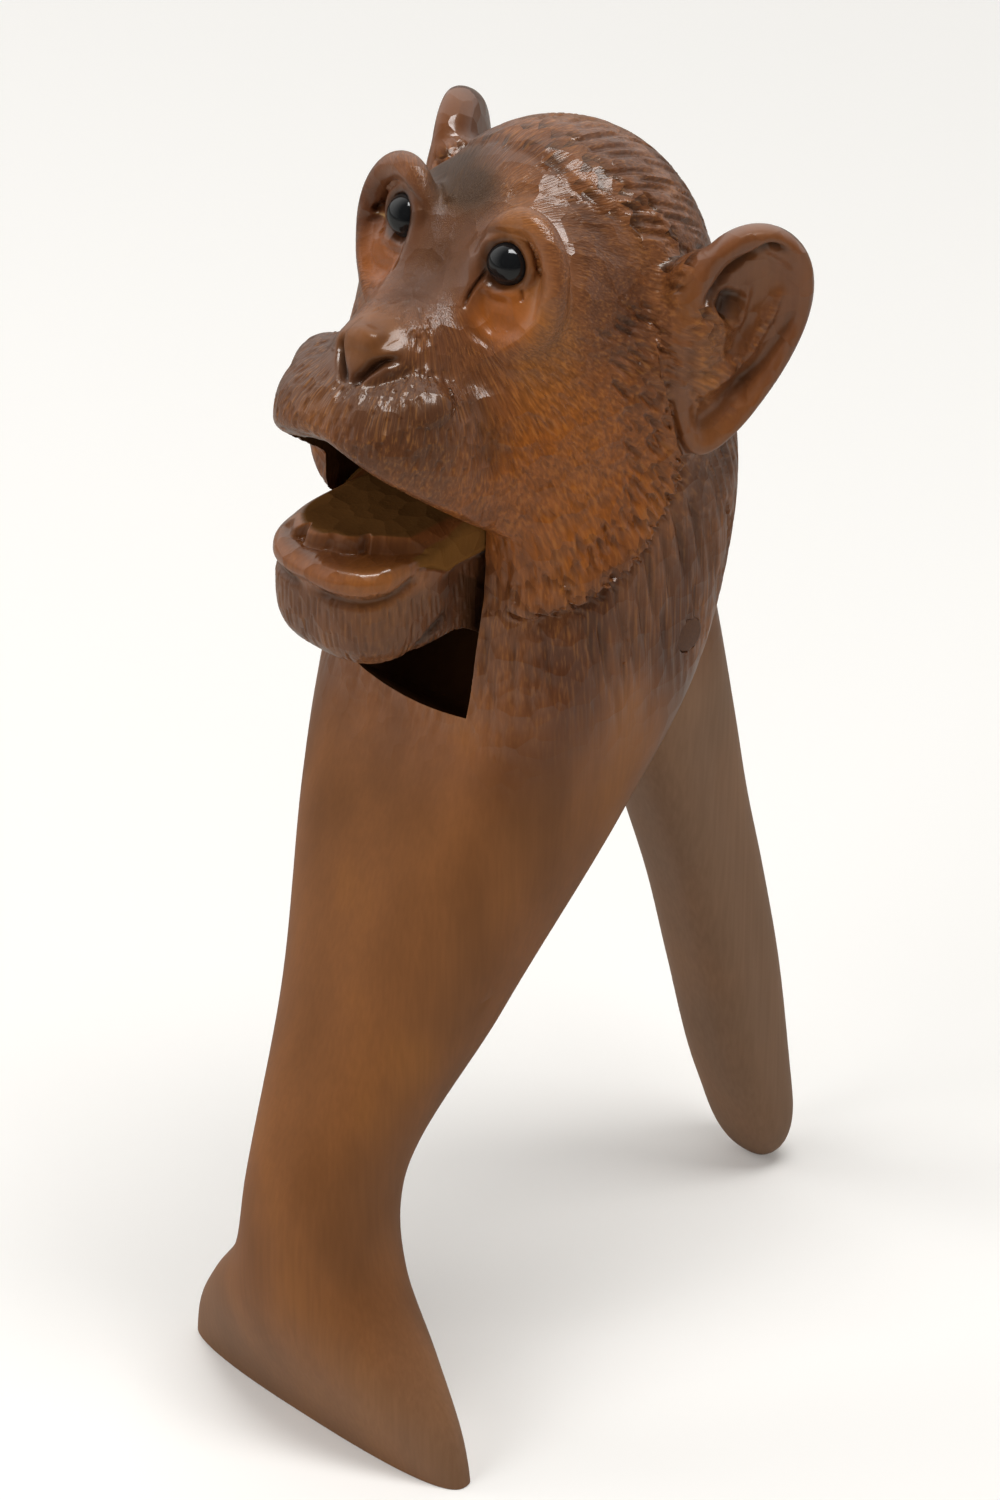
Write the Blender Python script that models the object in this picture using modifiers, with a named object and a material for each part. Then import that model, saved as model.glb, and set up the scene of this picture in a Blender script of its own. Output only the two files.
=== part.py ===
"""A wooden nutcracker carved as a monkey's head, built as it comes apart on a bench.

One block is head, neck and front handle. A lever, which is lower jaw and rear handle in one
piece, lies in a slot through the mouth and neck and turns on a dowel. Two glass eyes sit in
drilled pockets on wire shanks. Units are metres, +Z is up, the monkey looks towards -Y, and
the origin lies in the sole of the front handle. The model is at rest, with the mouth open.
"""

import math

import bmesh
import bpy
import numpy as np
from mathutils import Matrix, Vector

# Pivot of the lever, from which the neck, the slot, the jaw line and the head take their height
pivot_setback = 0.0515
pivot_height = 0.1285

# Front handle: a flared foot, a slim ankle, and a sweep up and back into the neck
sole_width = 0.0590
sole_depth = 0.0100
sole_setback = 0.0008
ankle_height = 0.0430
ankle_width = 0.0234
ankle_depth = 0.0234
neck_drop = 0.0075
neck_height = pivot_height - neck_drop
neck_width = 0.0520
neck_depth = 0.0450
neck_lead = 0.0112
neck_setback = pivot_setback - neck_lead

# Head: half width, length from the lips to the back, and height from the jaw line to the crown
head_half_width = 0.0250
head_length = 0.0800
head_height = 0.0800
head_drop = 0.0015
head_base = pivot_height - head_drop

# Ears
ear_height = 0.0360
ear_width = 0.0195
ear_thickness = 0.0040
ear_dish = 0.0035

# Eyes: a glass bead on a wire shank
eye_radius = 0.0034
eye_spread = 0.0102
wire_radius = 0.0005
wire_length = 0.0080

# Lever: jaw, arm, pivot boss and rear handle
slot_width = 0.0240
slot_drop = 0.0053
slot_floor_height = pivot_height - slot_drop
crotch_drop = 0.0353
crotch_setback = 0.0050
boss_radius = 0.0130
heel_reach = 0.0165
heel_angle = math.radians(45)
jaw_rise = 0.0271
jaw_top_height = pivot_height + jaw_rise
jaw_depth = 0.0200
jaw_length = 0.0290
jaw_overhang = 0.0014
rear_handle_width = 0.0162
rear_handle_thickness = 0.0182
rear_handle_spread = 0.0967
rear_handle_dome = 0.0140
closing_angle = math.radians(17)

# Pivot dowel
pin_radius = 0.0026
pin_recess = 0.0006

# Clearances, and the fineness of the work
side_gap = 0.0003
fit_gap = 0.0003
stop_gap = 0.0003
overrun = 0.0100
voxel = 0.0010
probe_step = 0.00005
body_triangles = 7200
lever_triangles = 2800

finishes = {
    "stained wood": ((0.150, 0.055, 0.022), 0.35, 0.0),
    "dowel end": ((0.120, 0.045, 0.020), 0.45, 0.0),
    "black glass": ((0.004, 0.004, 0.005), 0.06, 0.0),
    "steel wire": ((0.320, 0.310, 0.300), 0.35, 1.0),
}


# Distances: negative inside a solid, positive outside, zero on its surface
def axes_turned(tilt=0.0, yaw=0.0):
    """Axes turned about X by tilt, then about Z by yaw, in degrees, as the columns of an array."""
    tilting = Matrix.Rotation(math.radians(tilt), 3, "X")
    yawing = Matrix.Rotation(math.radians(yaw), 3, "Z")
    return np.array(yawing @ tilting)


def ball_distance(points, centre, radii, axes, squareness=2.0):
    """Distance from an ellipsoid, or from a squarer ball where squareness is over 2."""
    local = np.abs((points - centre) @ axes) / radii
    reach = (local**squareness).sum(axis=1) ** (1 / squareness)
    slope = np.linalg.norm(local / radii, axis=1) + 0.01 / np.max(radii)
    return reach * (reach - 1) / slope


def joined(first, second, softness):
    """The union of two solids, with a fillet of about this softness where they meet."""
    mix = np.clip(0.5 + (second - first) / (2 * softness), 0, 1)
    return second + (first - second) * mix - softness * mix * (1 - mix)


def hollowed(solid, tool, softness):
    """The solid less the tool, with edges eased by about this softness."""
    return -joined(-solid, tool, softness)


def along(table, heights):
    """The rows of a table, read at each height on a smooth curve through them."""
    table = np.asarray(table, float)
    steps = table[:, 0]
    slopes = np.gradient(table, steps, axis=0)
    heights = np.clip(heights, steps[0], steps[-1])
    row = np.clip(np.searchsorted(steps, heights, side="right") - 1, 0, len(steps) - 2)
    width = (steps[row + 1] - steps[row])[:, None]
    part = (heights - steps[row])[:, None] / width
    return (
        (2 * part**3 - 3 * part**2 + 1) * table[row]
        + (part**3 - 2 * part**2 + part) * width * slopes[row]
        + (3 * part**2 - 2 * part**3) * table[row + 1]
        + (part**3 - part**2) * width * slopes[row + 1]
    )


def loft_distance(points, table, dome=0.0):
    """Distance from a loft of rounded sections, closed below by a dome of this height if it has one."""
    rows = along(table, points[:, 2])
    centre, half_width, half_depth, squareness = rows[:, 1:].T
    across = np.abs(points[:, 0] / half_width) ** squareness
    deep = np.abs((points[:, 1] - centre) / half_depth) ** squareness
    below = 0
    if dome:
        below = np.clip((dome - points[:, 2]) / dome, 0, None) ** squareness
    reach = (across + deep + below) ** (1 / squareness)
    return (reach - 1) * np.minimum(half_width, half_depth)


def loft_rings(table, dome=0.0):
    """Rings of corner points down a loft, for the rough shape that is refined afterwards."""
    table = np.asarray(table, float)
    heights = np.linspace(max(table[0, 0], 0) if dome else table[0, 0], table[-1, 0], 40)
    rings = []
    for height, centre, half_width, half_depth, squareness in along(table, heights):
        drop = max(dome - height, 0) / dome if dome else 0
        shrink = max(1 - drop**squareness, 0.02) ** (1 / squareness)
        ring = []
        for turn in np.linspace(0, 2 * math.pi, 24, endpoint=False):
            x = math.copysign(abs(math.cos(turn)) ** (2 / squareness), math.cos(turn))
            y = math.copysign(abs(math.sin(turn)) ** (2 / squareness), math.sin(turn))
            ring.append((x * half_width * shrink, centre + y * half_depth * shrink, height))
        rings.append(ring)
    return rings


# Front handle and neck
foot_shares = [
    # height to the ankle, and how far centre, width and depth have gone from sole to ankle
    (0.20, 0.60, 0.13, 0.42),
    (0.40, 1.60, 0.42, 0.74),
    (0.65, 2.40, 0.84, 0.92),
    (1.00, 1.00, 1.00, 1.00),
]
neck_shares = [
    # height, setback, width, depth, squareness
    (0.58, 0.375, 0.643, 0.736, 2.2),
    (0.83, 0.750, 0.915, 0.945, 2.6),
    (1.00, 1.000, 1.000, 1.000, 3.4),
    (1.11, 1.115, 1.000, 1.100, 3.0),
    (1.24, 1.203, 0.965, 1.145, 2.6),
    (1.36, 1.225, 0.900, 1.040, 2.3),
    (1.48, 1.215, 0.680, 0.760, 2.1),
]


def front_handle_sections():
    """Rows of height, centre, half width, half depth and squareness, from below the sole to the head."""
    sole = np.array([sole_setback, sole_width / 2, sole_depth / 2])
    ankle = np.array([0, ankle_width / 2, ankle_depth / 2])
    rows = [(-overrun, *sole, 2.6), (0, *sole, 2.6)]
    for height, *gone in foot_shares:
        rows.append((height * ankle_height, *(sole + (ankle - sole) * gone), 2.2))
    for height, setback, width, depth, squareness in neck_shares:
        rows.append(
            (
                height * neck_height,
                setback * neck_setback,
                width * neck_width / 2,
                depth * neck_depth / 2,
                squareness,
            )
        )
    return rows


# Head: soft masses in shares of half width, length and height, from the middle of the jaw line
head_sizes = np.array([head_half_width, head_length, head_height])
head_origin = np.array([0, 0, head_base])

mass_shares = [
    # name, place, radii, tilt, squareness, softness
    ("skull", (0.00, 0.606, 0.610), (0.920, 0.312, 0.350), 0, 2.0, 0.06),
    ("temple", (0.36, 0.440, 0.720), (0.440, 0.150, 0.120), 0, 2.0, 0.08),
    ("cheek", (0.36, 0.475, 0.487), (0.600, 0.237, 0.250), 0, 2.0, 0.08),
    ("jowl", (0.46, 0.450, 0.312), (0.520, 0.175, 0.200), 0, 2.0, 0.05),
    ("lip side", (0.36, 0.262, 0.450), (0.340, 0.165, 0.150), 0, 2.2, 0.05),
    ("muzzle", (0.00, 0.215, 0.525), (0.640, 0.215, 0.145), 0, 2.6, 0.04),
    ("nose bridge", (0.00, 0.290, 0.662), (0.380, 0.190, 0.100), 0, 2.0, 0.05),
    ("nose tip", (0.00, 0.150, 0.710), (0.150, 0.045, 0.042), 0, 2.0, 0.02),
    ("nose wing", (0.15, 0.160, 0.690), (0.130, 0.045, 0.042), 0, 2.0, 0.02),
    ("nape", (0.00, 0.645, 0.480), (0.880, 0.275, 0.260), 0, 2.2, 0.06),
    ("ear root", (0.96, 0.660, 0.640), (0.200, 0.080, 0.160), 0, 2.0, 0.03),
]
socket_place_shares = (0.488, 0.250, 0.798)
socket_radius_shares = (0.25, 0.118, 0.092)
eye_place_shares = (0, 0.371, 0.825)


def head_place(shares):
    return head_origin + np.array(shares) * head_sizes


def head_masses():
    """Each mass as its centre, radii, axes, squareness and softness, in metres."""
    for _, place, radii, tilt, squareness, softness in mass_shares:
        yield (
            head_place(place),
            np.array(radii) * head_sizes,
            axes_turned(tilt),
            squareness,
            softness * head_length,
        )


# Eye sockets: a raised ring round each bead
ring_place_shares = (0.496, 0.366, 0.795)
ring_radius_shares = (0.245, 0.109)
ring_wire_share = 0.026
ring_tilt = -12
ring_yaw = 8
ring_softness_share = 0.04


def oval_distance(across, up, half_width, half_height):
    """Distance in a plane from an oval outline, measured towards its middle."""
    reach = np.hypot(across / half_width, up / half_height)
    return np.hypot(across, up) * (1 - 1 / np.maximum(reach, 0.05))


def ring_distance(points):
    """Distance from the raised rim of an eye socket, an oval ring of round section."""
    local = (points - head_place(ring_place_shares)) @ axes_turned(ring_tilt, ring_yaw)
    wide = ring_radius_shares[0] * head_half_width
    tall = ring_radius_shares[1] * head_height
    from_oval = oval_distance(local[:, 0], local[:, 2], wide, tall)
    return np.hypot(from_oval, local[:, 1]) - ring_wire_share * head_length


# Ears: a dished plate with a rolled rim and a hollow beside the cheek
ear_place_shares = (1.13, 0.715, 0.625)
ear_tilt = 17
ear_yaw = 60
ear_roll_share = 0.50
ear_narrowing = 0.28


def ear_axes():
    """Columns across the ear, inwards through it, and up it."""
    yawing = Matrix.Rotation(math.radians(ear_yaw), 3, "Z")
    leaning = Matrix.Rotation(math.radians(ear_tilt), 3, "Y")
    return np.array(yawing @ leaning)


def ear_distance(points):
    """Distance from a dished plate, narrower at the lobe, with a rolled rim."""
    local = (points - head_place(ear_place_shares)) @ ear_axes()
    half_height = ear_height / 2
    up = local[:, 2]
    narrowing = 1 + ear_narrowing * np.clip(up / half_height, -1, 1)
    across = local[:, 0] / narrowing
    reach = np.clip(np.hypot(across / (ear_width / 2), up / half_height), 0, 1.2)
    outward = -local[:, 1] - ear_dish * (reach**2 - 1)
    edge = oval_distance(across, up, ear_width / 2, half_height)
    half_thickness = ear_thickness / 2
    beyond = np.hypot(np.maximum(edge + half_thickness, 0), outward)
    plate = np.where(edge < -half_thickness, np.abs(outward), beyond) - half_thickness
    rim_line = edge + ear_thickness * ear_roll_share
    rim = np.hypot(rim_line, outward - ear_thickness * 0.3) - ear_thickness * ear_roll_share
    return joined(plate, rim, ear_thickness * 0.25)


lip_arch_shares = (0.32, 0.026)


def gape_distance(points):
    """Distance from the open space under the upper lip, in front of the throat."""
    lip = head_place((0, 0.010, 0.5325))
    corner = head_place((0, 0.285, 0.320))
    run = corner - lip
    length = math.hypot(run[1], run[2])
    under_lip = ((points[:, 2] - lip[2]) * run[1] - (points[:, 1] - lip[1]) * run[2]) / length
    from_middle = points[:, 0] / (lip_arch_shares[0] * head_half_width)
    under_lip = under_lip - lip_arch_shares[1] * head_height * np.exp(-(from_middle**2))
    before_throat = points[:, 1] - head_place((0, 0.290, 0))[1]
    return np.maximum(under_lip, before_throat)


def head_distance(points):
    """Distance from the head without the neck, the points being all on the left side."""
    solid = None
    for centre, radii, axes, squareness, softness in head_masses():
        mass = ball_distance(points, centre, radii, axes, squareness)
        solid = mass if solid is None else joined(solid, mass, softness)
    solid = joined(solid, ring_distance(points), ring_softness_share * head_length)
    socket_radii = np.array(socket_radius_shares) * head_sizes
    socket = ball_distance(points, head_place(socket_place_shares), socket_radii, axes_turned())
    solid = hollowed(solid, socket, 0.015 * head_length)
    solid = hollowed(solid, gape_distance(points), 0.02 * head_length)
    return joined(solid, ear_distance(points), ear_thickness * 0.6)


def body_distance(points):
    """Distance from the carved block, before the slot and the holes are cut."""
    points = points.copy()
    points[:, 0] = np.abs(points[:, 0])
    neck = loft_distance(points, front_handle_sections())
    neck = np.maximum(neck, points[:, 2] - neck_shares[-1][0] * neck_height)
    return joined(neck, head_distance(points), 0.04 * head_length)


# Lever
rear_handle_shares = [
    # height, how far back its outer face lies, width, thickness, squareness
    (0.00, 1.10, 0.94, 0.50, 2.4),
    (0.08, 1.085, 0.96, 0.60, 2.5),
    (0.165, 1.050, 0.98, 0.72, 2.8),
    (0.335, 0.975, 1.00, 0.86, 3.0),
    (0.48, 0.885, 1.00, 0.92, 3.0),
    (0.60, 0.800, 1.02, 1.00, 3.0),
    (0.73, 0.715, 1.12, 1.09, 3.0),
    (0.92, 0.570, 1.35, 1.12, 3.0),
    (1.10, 0.440, 1.44, 1.20, 2.6),
]
# Places and radii of jaw and lip, in shares of half width, jaw length and jaw depth
jaw_radius_shares = (1.02, 0.50, 0.56)
lip_place_shares = (0, -0.01, 0.29)
lip_radius_shares = (1.03, 0.52, 0.17)
arm_place_shares = (0, 0.35, 0.02)
arm_radius_share = 0.46
lever_half_width = slot_width / 2 - side_gap
lever_pivot = np.array([0, pivot_setback, pivot_height])


def rear_handle_sections():
    """Rows of height, centre, half width, half depth and squareness, up to the pivot."""
    run = rear_handle_spread - pivot_setback
    rows = []
    for height, back, width, depth, squareness in rear_handle_shares:
        thickness = depth * rear_handle_thickness
        rows.append(
            (
                height * pivot_height,
                pivot_setback + back * run - thickness / 2,
                width * rear_handle_width / 2,
                thickness / 2,
                squareness,
            )
        )
    return rows


def capsule_distance(points, start, end, start_radius, end_radius):
    """Distance, seen from the side, from a bar whose radius changes from start to end."""
    run = (end - start)[1:]
    share = ((points[:, 1:] - start[1:]) @ run) / (run @ run)
    share = np.clip(share, 0, 1)
    nearest = start[1:] + share[:, None] * run
    radius = start_radius + (end_radius - start_radius) * share
    return np.linalg.norm(points[:, 1:] - nearest, axis=1) - radius


def jaw_place(shares):
    middle = np.array([0, jaw_length / 2 - jaw_overhang, jaw_top_height - jaw_depth / 2])
    return middle + jaw_radii(shares)


def jaw_radii(shares):
    return np.array(shares) * np.array([lever_half_width, jaw_length, jaw_depth])


def heel_distance(points):
    """Distance above the heel, a flat that meets the stop and turns into a round about the pivot."""
    local = points - lever_pivot
    above = local @ np.array([0, math.sin(heel_angle), math.cos(heel_angle)])
    forward = local @ np.array([0, -math.cos(heel_angle), math.sin(heel_angle)])
    return np.where(forward > 0, np.hypot(above, forward), above) - heel_reach


def lever_distance(points):
    """Distance from the lever, before its bore is cut."""
    points = points.copy()
    points[:, 0] = np.abs(points[:, 0])
    arm_start = jaw_place(arm_place_shares)
    solid = capsule_distance(points, arm_start, lever_pivot, arm_radius_share * jaw_depth, boss_radius)
    handle = loft_distance(points, rear_handle_sections(), rear_handle_dome)
    handle = hollowed(handle, -heel_distance(points), 0.1 * heel_reach)
    solid = joined(solid, handle, 0.2 * rear_handle_thickness)
    jaw = ball_distance(points, jaw_place((0, 0, 0)), jaw_radii(jaw_radius_shares), axes_turned(), 3.2)
    solid = joined(solid, jaw, 0.1 * jaw_depth)
    lip = ball_distance(
        points, jaw_place(lip_place_shares), jaw_radii(lip_radius_shares), axes_turned(), 2.7
    )
    solid = joined(solid, lip, 0.05 * jaw_depth)
    solid = hollowed(solid, jaw_top_height - points[:, 2], 0.05 * jaw_depth)
    return hollowed(solid, lever_half_width - points[:, 0], 0.03 * jaw_depth)


# Meshes
def new_object(name, mesh, collection, place=(0, 0, 0)):
    found = bpy.data.objects.new(name, mesh)
    found.location = place
    collection.objects.link(found)
    return found


def finished(target, finish):
    """Gives a piece its one material, and smooth shading away from its sharp edges."""
    target.data.materials.clear()
    target.data.materials.append(finish_material(finish))
    target.data.shade_smooth()
    target.data.set_sharp_from_angle(angle=math.radians(35))


def finish_material(finish):
    material = bpy.data.materials.get(finish)
    if material:
        return material
    colour, roughness, metallic = finishes[finish]
    material = bpy.data.materials.new(finish)
    material.use_nodes = True
    shader = material.node_tree.nodes["Principled BSDF"]
    shader.inputs["Base Color"].default_value = (*colour, 1)
    shader.inputs["Roughness"].default_value = roughness
    shader.inputs["Metallic"].default_value = metallic
    return material


def add_ball(shape, centre, radii, axes, squareness=2.0):
    """A rounded mass with these radii and axes, and its mirror image if it lies to one side."""
    for side in (1, -1):
        ball = bmesh.ops.create_uvsphere(shape, u_segments=24, v_segments=16, radius=1)
        for vert in ball["verts"]:
            reach = sum(abs(part) ** squareness for part in vert.co) ** (1 / squareness)
            place = centre + axes @ (np.array(vert.co) / reach * radii)
            vert.co = (side * place[0], place[1], place[2])
        if not centre[0]:
            return


def add_ear(shape):
    """Both ears as flat plates with the outline of the ear, for the rough shape."""
    centre = head_place(ear_place_shares)
    for side in (1, -1):
        plate = bmesh.ops.create_uvsphere(shape, u_segments=32, v_segments=12, radius=1)
        for vert in plate["verts"]:
            across, up, outward = vert.co
            stretch = 1 / max(math.hypot(across, up), 0.4)
            reach = math.hypot(across, up) * stretch
            narrowing = 1 + ear_narrowing * up * stretch
            local = np.array(
                [
                    across * stretch * narrowing * ear_width / 2,
                    ear_dish * (1 - reach**2) + outward * ear_thickness * 0.6,
                    up * stretch * ear_height / 2,
                ]
            )
            place = centre + ear_axes() @ local
            vert.co = (side * place[0], place[1], place[2])


def add_loft(shape, rings):
    """Walls between rings of points, with both ends closed."""
    corners = [[shape.verts.new(corner) for corner in ring] for ring in rings]
    for lower, upper in zip(corners, corners[1:]):
        for index in range(len(lower)):
            following = (index + 1) % len(lower)
            shape.faces.new((lower[index], lower[following], upper[following], upper[index]))
    shape.faces.new(corners[0][::-1])
    shape.faces.new(corners[-1])


def refined(name, shape, distance, triangles, collection):
    """A rough shape remeshed, drawn onto the surface where the distance is zero, and thinned."""
    bmesh.ops.recalc_face_normals(shape, faces=shape.faces)
    mesh = bpy.data.meshes.new(name)
    shape.to_mesh(mesh)
    shape.free()
    rough = new_object(name, mesh, collection)
    remesh = rough.modifiers.new("Remesh", "REMESH")
    remesh.mode = "VOXEL"
    remesh.voxel_size = voxel
    apply_modifiers(rough)
    draw_onto(rough.data, distance)
    thin = rough.modifiers.new("Thin", "DECIMATE")
    thin.ratio = min(triangles / (2 * len(rough.data.polygons)), 1)
    thin.use_symmetry = True
    thin.symmetry_axis = "X"
    thin.use_collapse_triangulate = True
    apply_modifiers(rough)
    return rough


def draw_onto(mesh, distance, rounds=6):
    """Moves every vertex down or up the slope of the distance until it lies on the surface."""
    flat = np.empty(len(mesh.vertices) * 3)
    mesh.vertices.foreach_get("co", flat)
    points = flat.reshape(-1, 3)
    ends = np.empty(len(mesh.edges) * 2, int)
    mesh.edges.foreach_get("vertices", ends)
    ends = ends.reshape(-1, 2)
    both = np.concatenate([ends, ends[:, ::-1]])
    count = np.bincount(both[:, 0], minlength=len(points))[:, None]
    for turn in range(rounds):
        if turn < rounds - 2:
            total = np.stack(
                [np.bincount(both[:, 0], points[both[:, 1], axis], len(points)) for axis in range(3)],
                axis=1,
            )
            points = points * 0.5 + total / count * 0.5
        for _ in range(3):
            here = distance(points)
            slope = np.stack(
                [
                    (distance(points + probe_step * step) - here) / probe_step
                    for step in np.eye(3)
                ],
                axis=1,
            )
            move = here[:, None] * slope / np.maximum((slope**2).sum(axis=1), 0.04)[:, None]
            length = np.linalg.norm(move, axis=1, keepdims=True)
            points = points - move * np.minimum(1, voxel / np.maximum(length, voxel * 0.001))
    mesh.vertices.foreach_set("co", points.ravel())
    mesh.update()


def apply_modifiers(target):
    graph = bpy.context.evaluated_depsgraph_get()
    mesh = bpy.data.meshes.new_from_object(target.evaluated_get(graph))
    target.modifiers.clear()
    old = target.data
    target.data = mesh
    bpy.data.meshes.remove(old)


def cut(target, cutter):
    """Cuts the target with the cutter. The carved faces are too fine for the exact solver."""
    modifier = target.modifiers.new(cutter.name, "BOOLEAN")
    modifier.operation = "DIFFERENCE"
    modifier.solver = "MANIFOLD"
    modifier.object = cutter
    apply_modifiers(target)


def cutter_object(name, mesh, collection, place=(0, 0, 0)):
    cutter = new_object(name, mesh, collection, place)
    cutter.hide_render = True
    cutter.display_type = "WIRE"
    return cutter


def rod_mesh(name, radius, axis, start, end, segments=32):
    """A closed cylinder along an axis, from start to end as measured from its object's origin."""
    shape = bmesh.new()
    middle = Matrix.Translation(axis * (start + end) / 2)
    bmesh.ops.create_cone(
        shape,
        cap_ends=True,
        segments=segments,
        radius1=radius,
        radius2=radius,
        depth=end - start,
        matrix=middle @ axis.to_track_quat("Z", "Y").to_matrix().to_4x4(),
    )
    mesh = bpy.data.meshes.new(name)
    shape.to_mesh(mesh)
    shape.free()
    return mesh


def ball_mesh(name, radius):
    shape = bmesh.new()
    bmesh.ops.create_uvsphere(shape, u_segments=16, v_segments=10, radius=radius)
    mesh = bpy.data.meshes.new(name)
    shape.to_mesh(mesh)
    shape.free()
    return mesh


def side_outline_mesh(name, outline, half_width):
    """A flat outline in the plane of symmetry, drawn out to both sides."""
    shape = bmesh.new()
    corners = [shape.verts.new((-half_width, y, z)) for y, z in outline]
    face = shape.faces.new(corners)
    drawn = bmesh.ops.extrude_face_region(shape, geom=[face])
    moved = [item for item in drawn["geom"] if isinstance(item, bmesh.types.BMVert)]
    bmesh.ops.translate(shape, verts=moved, vec=(2 * half_width, 0, 0))
    bmesh.ops.recalc_face_normals(shape, faces=shape.faces)
    mesh = bpy.data.meshes.new(name)
    shape.to_mesh(mesh)
    shape.free()
    return mesh


def closed_place(y, z):
    """Where a point of the lever, given at rest, lies when the mouth is shut."""
    back, up = y - pivot_setback, z - pivot_height
    turn_cos, turn_sin = math.cos(closing_angle), math.sin(closing_angle)
    return (
        pivot_setback + back * turn_cos + up * turn_sin,
        pivot_height + up * turn_cos - back * turn_sin,
    )


def crossing(first, second, third, fourth):
    """Where the line through the first two places crosses the line through the last two."""
    run = (second[0] - first[0], second[1] - first[1])
    other = (fourth[0] - third[0], fourth[1] - third[1])
    between = (third[0] - first[0], third[1] - first[1])
    square = run[0] * other[1] - run[1] * other[0]
    part = (between[0] * other[1] - between[1] * other[0]) / square
    return (first[0] + part * run[0], first[1] + part * run[1])


def slot_outline():
    """The slot from the side: floor, way out under the nape, stop behind the heel, and palate."""
    front = -overrun
    back = rear_handle_spread
    throat_front = neck_setback - neck_depth / 2
    crotch = (pivot_setback + crotch_setback, pivot_height - crotch_drop)
    slope = (slot_floor_height - crotch[1]) / (crotch[0] - throat_front)
    palate_gap = 2 * fit_gap
    palate_front = closed_place(-2 * jaw_overhang, jaw_top_height + palate_gap)
    lip_inside = closed_place(-2 * jaw_overhang, jaw_top_height - jaw_depth / 3)[0] - palate_gap
    palate_back = closed_place(2 * jaw_length, jaw_top_height + palate_gap)
    stop = heel_reach + stop_gap
    stop_top = (
        pivot_setback + stop * math.sin(heel_angle) - jaw_length * math.cos(heel_angle),
        pivot_height + stop * math.cos(heel_angle) + jaw_length * math.sin(heel_angle),
    )
    stop_slope = math.tan(heel_angle)
    stop_foot = (back, stop_top[1] - (back - stop_top[0]) * stop_slope)
    roof = crossing(palate_front, palate_back, stop_top, stop_foot)
    return [
        (front, slot_floor_height + (throat_front - front) * slope),
        (throat_front, slot_floor_height),
        crotch,
        (back, crotch[1] - (back - crotch[0]) * slope),
        stop_foot,
        roof,
        (lip_inside, palate_front[1]),
        (lip_inside, jaw_top_height),
        (front, jaw_top_height),
    ]


def surface_reach(distance, y, z, far):
    """How far to the side the surface of a solid lies, beside a point of the plane of symmetry."""
    near = 0
    for _ in range(40):
        middle = (near + far) / 2
        if distance(np.array([[middle, y, z]]))[0] < 0:
            near = middle
        else:
            far = middle
    return near


# Assembly
def clear_scene():
    for found in list(bpy.data.objects):
        bpy.data.objects.remove(found, do_unlink=True)


def move_origin(target, place):
    """Moves an object's origin to a place, and leaves its surface where it is."""
    target.data.transform(Matrix.Translation(-place))
    target.location = place


def make_body(parts):
    """Head, neck and front handle, still without slot, bore and eye pockets."""
    shape = bmesh.new()
    add_loft(shape, loft_rings(front_handle_sections()))
    for centre, radii, axes, squareness, _ in head_masses():
        add_ball(shape, centre, radii, axes, squareness)
    add_ear(shape)
    across_share, up_share = ring_radius_shares
    ring_radii = np.array([across_share * 1.2, ring_wire_share, up_share * 1.2]) * head_sizes
    add_ball(shape, head_place(ring_place_shares), ring_radii, axes_turned(ring_tilt, ring_yaw))
    return refined("head_and_front_handle", shape, body_distance, body_triangles, parts)


def make_lever(parts):
    """Jaw, arm, boss and rear handle, still without the bore."""
    shape = bmesh.new()
    add_loft(shape, loft_rings(rear_handle_sections(), rear_handle_dome))
    add_ball(shape, jaw_place((0, 0, 0)), jaw_radii((1, 0.5, 0.5)), axes_turned(), 4)
    arm_start = jaw_place(arm_place_shares)
    steps = 12
    for step in range(steps + 1):
        done = step / steps
        place = arm_start + (lever_pivot - arm_start) * done
        radius = boss_radius * (0.7 + 0.3 * done)
        add_ball(shape, place, np.array([lever_half_width, radius, radius]), axes_turned(), 6)
    return refined("jaw_and_rear_handle", shape, lever_distance, lever_triangles, parts)


def make_eye(side, label, body, parts, cutters):
    """A glass bead and its wire shank, each in its own clearance in the block."""
    place = head_place(eye_place_shares)
    centre = Vector((side * eye_spread, place[1], place[2]))
    pocket = ball_mesh("pocket_" + label, eye_radius + fit_gap)
    cut(body, cutter_object("pocket_" + label, pocket, cutters, centre))
    inwards = Vector((0, 1, 0))
    start = eye_radius + fit_gap
    end = start + wire_length
    hole = rod_mesh("wire_hole_" + label, wire_radius + fit_gap, inwards, 0, end + fit_gap, 12)
    cut(body, cutter_object("wire_hole_" + label, hole, cutters, centre))
    eye = new_object("eye_" + label, ball_mesh("eye_" + label, eye_radius), parts, centre)
    finished(eye, "black glass")
    shank = rod_mesh("eye_wire_" + label, wire_radius, inwards, start, end, 10)
    finished(new_object("eye_wire_" + label, shank, parts, centre), "steel wire")


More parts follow.
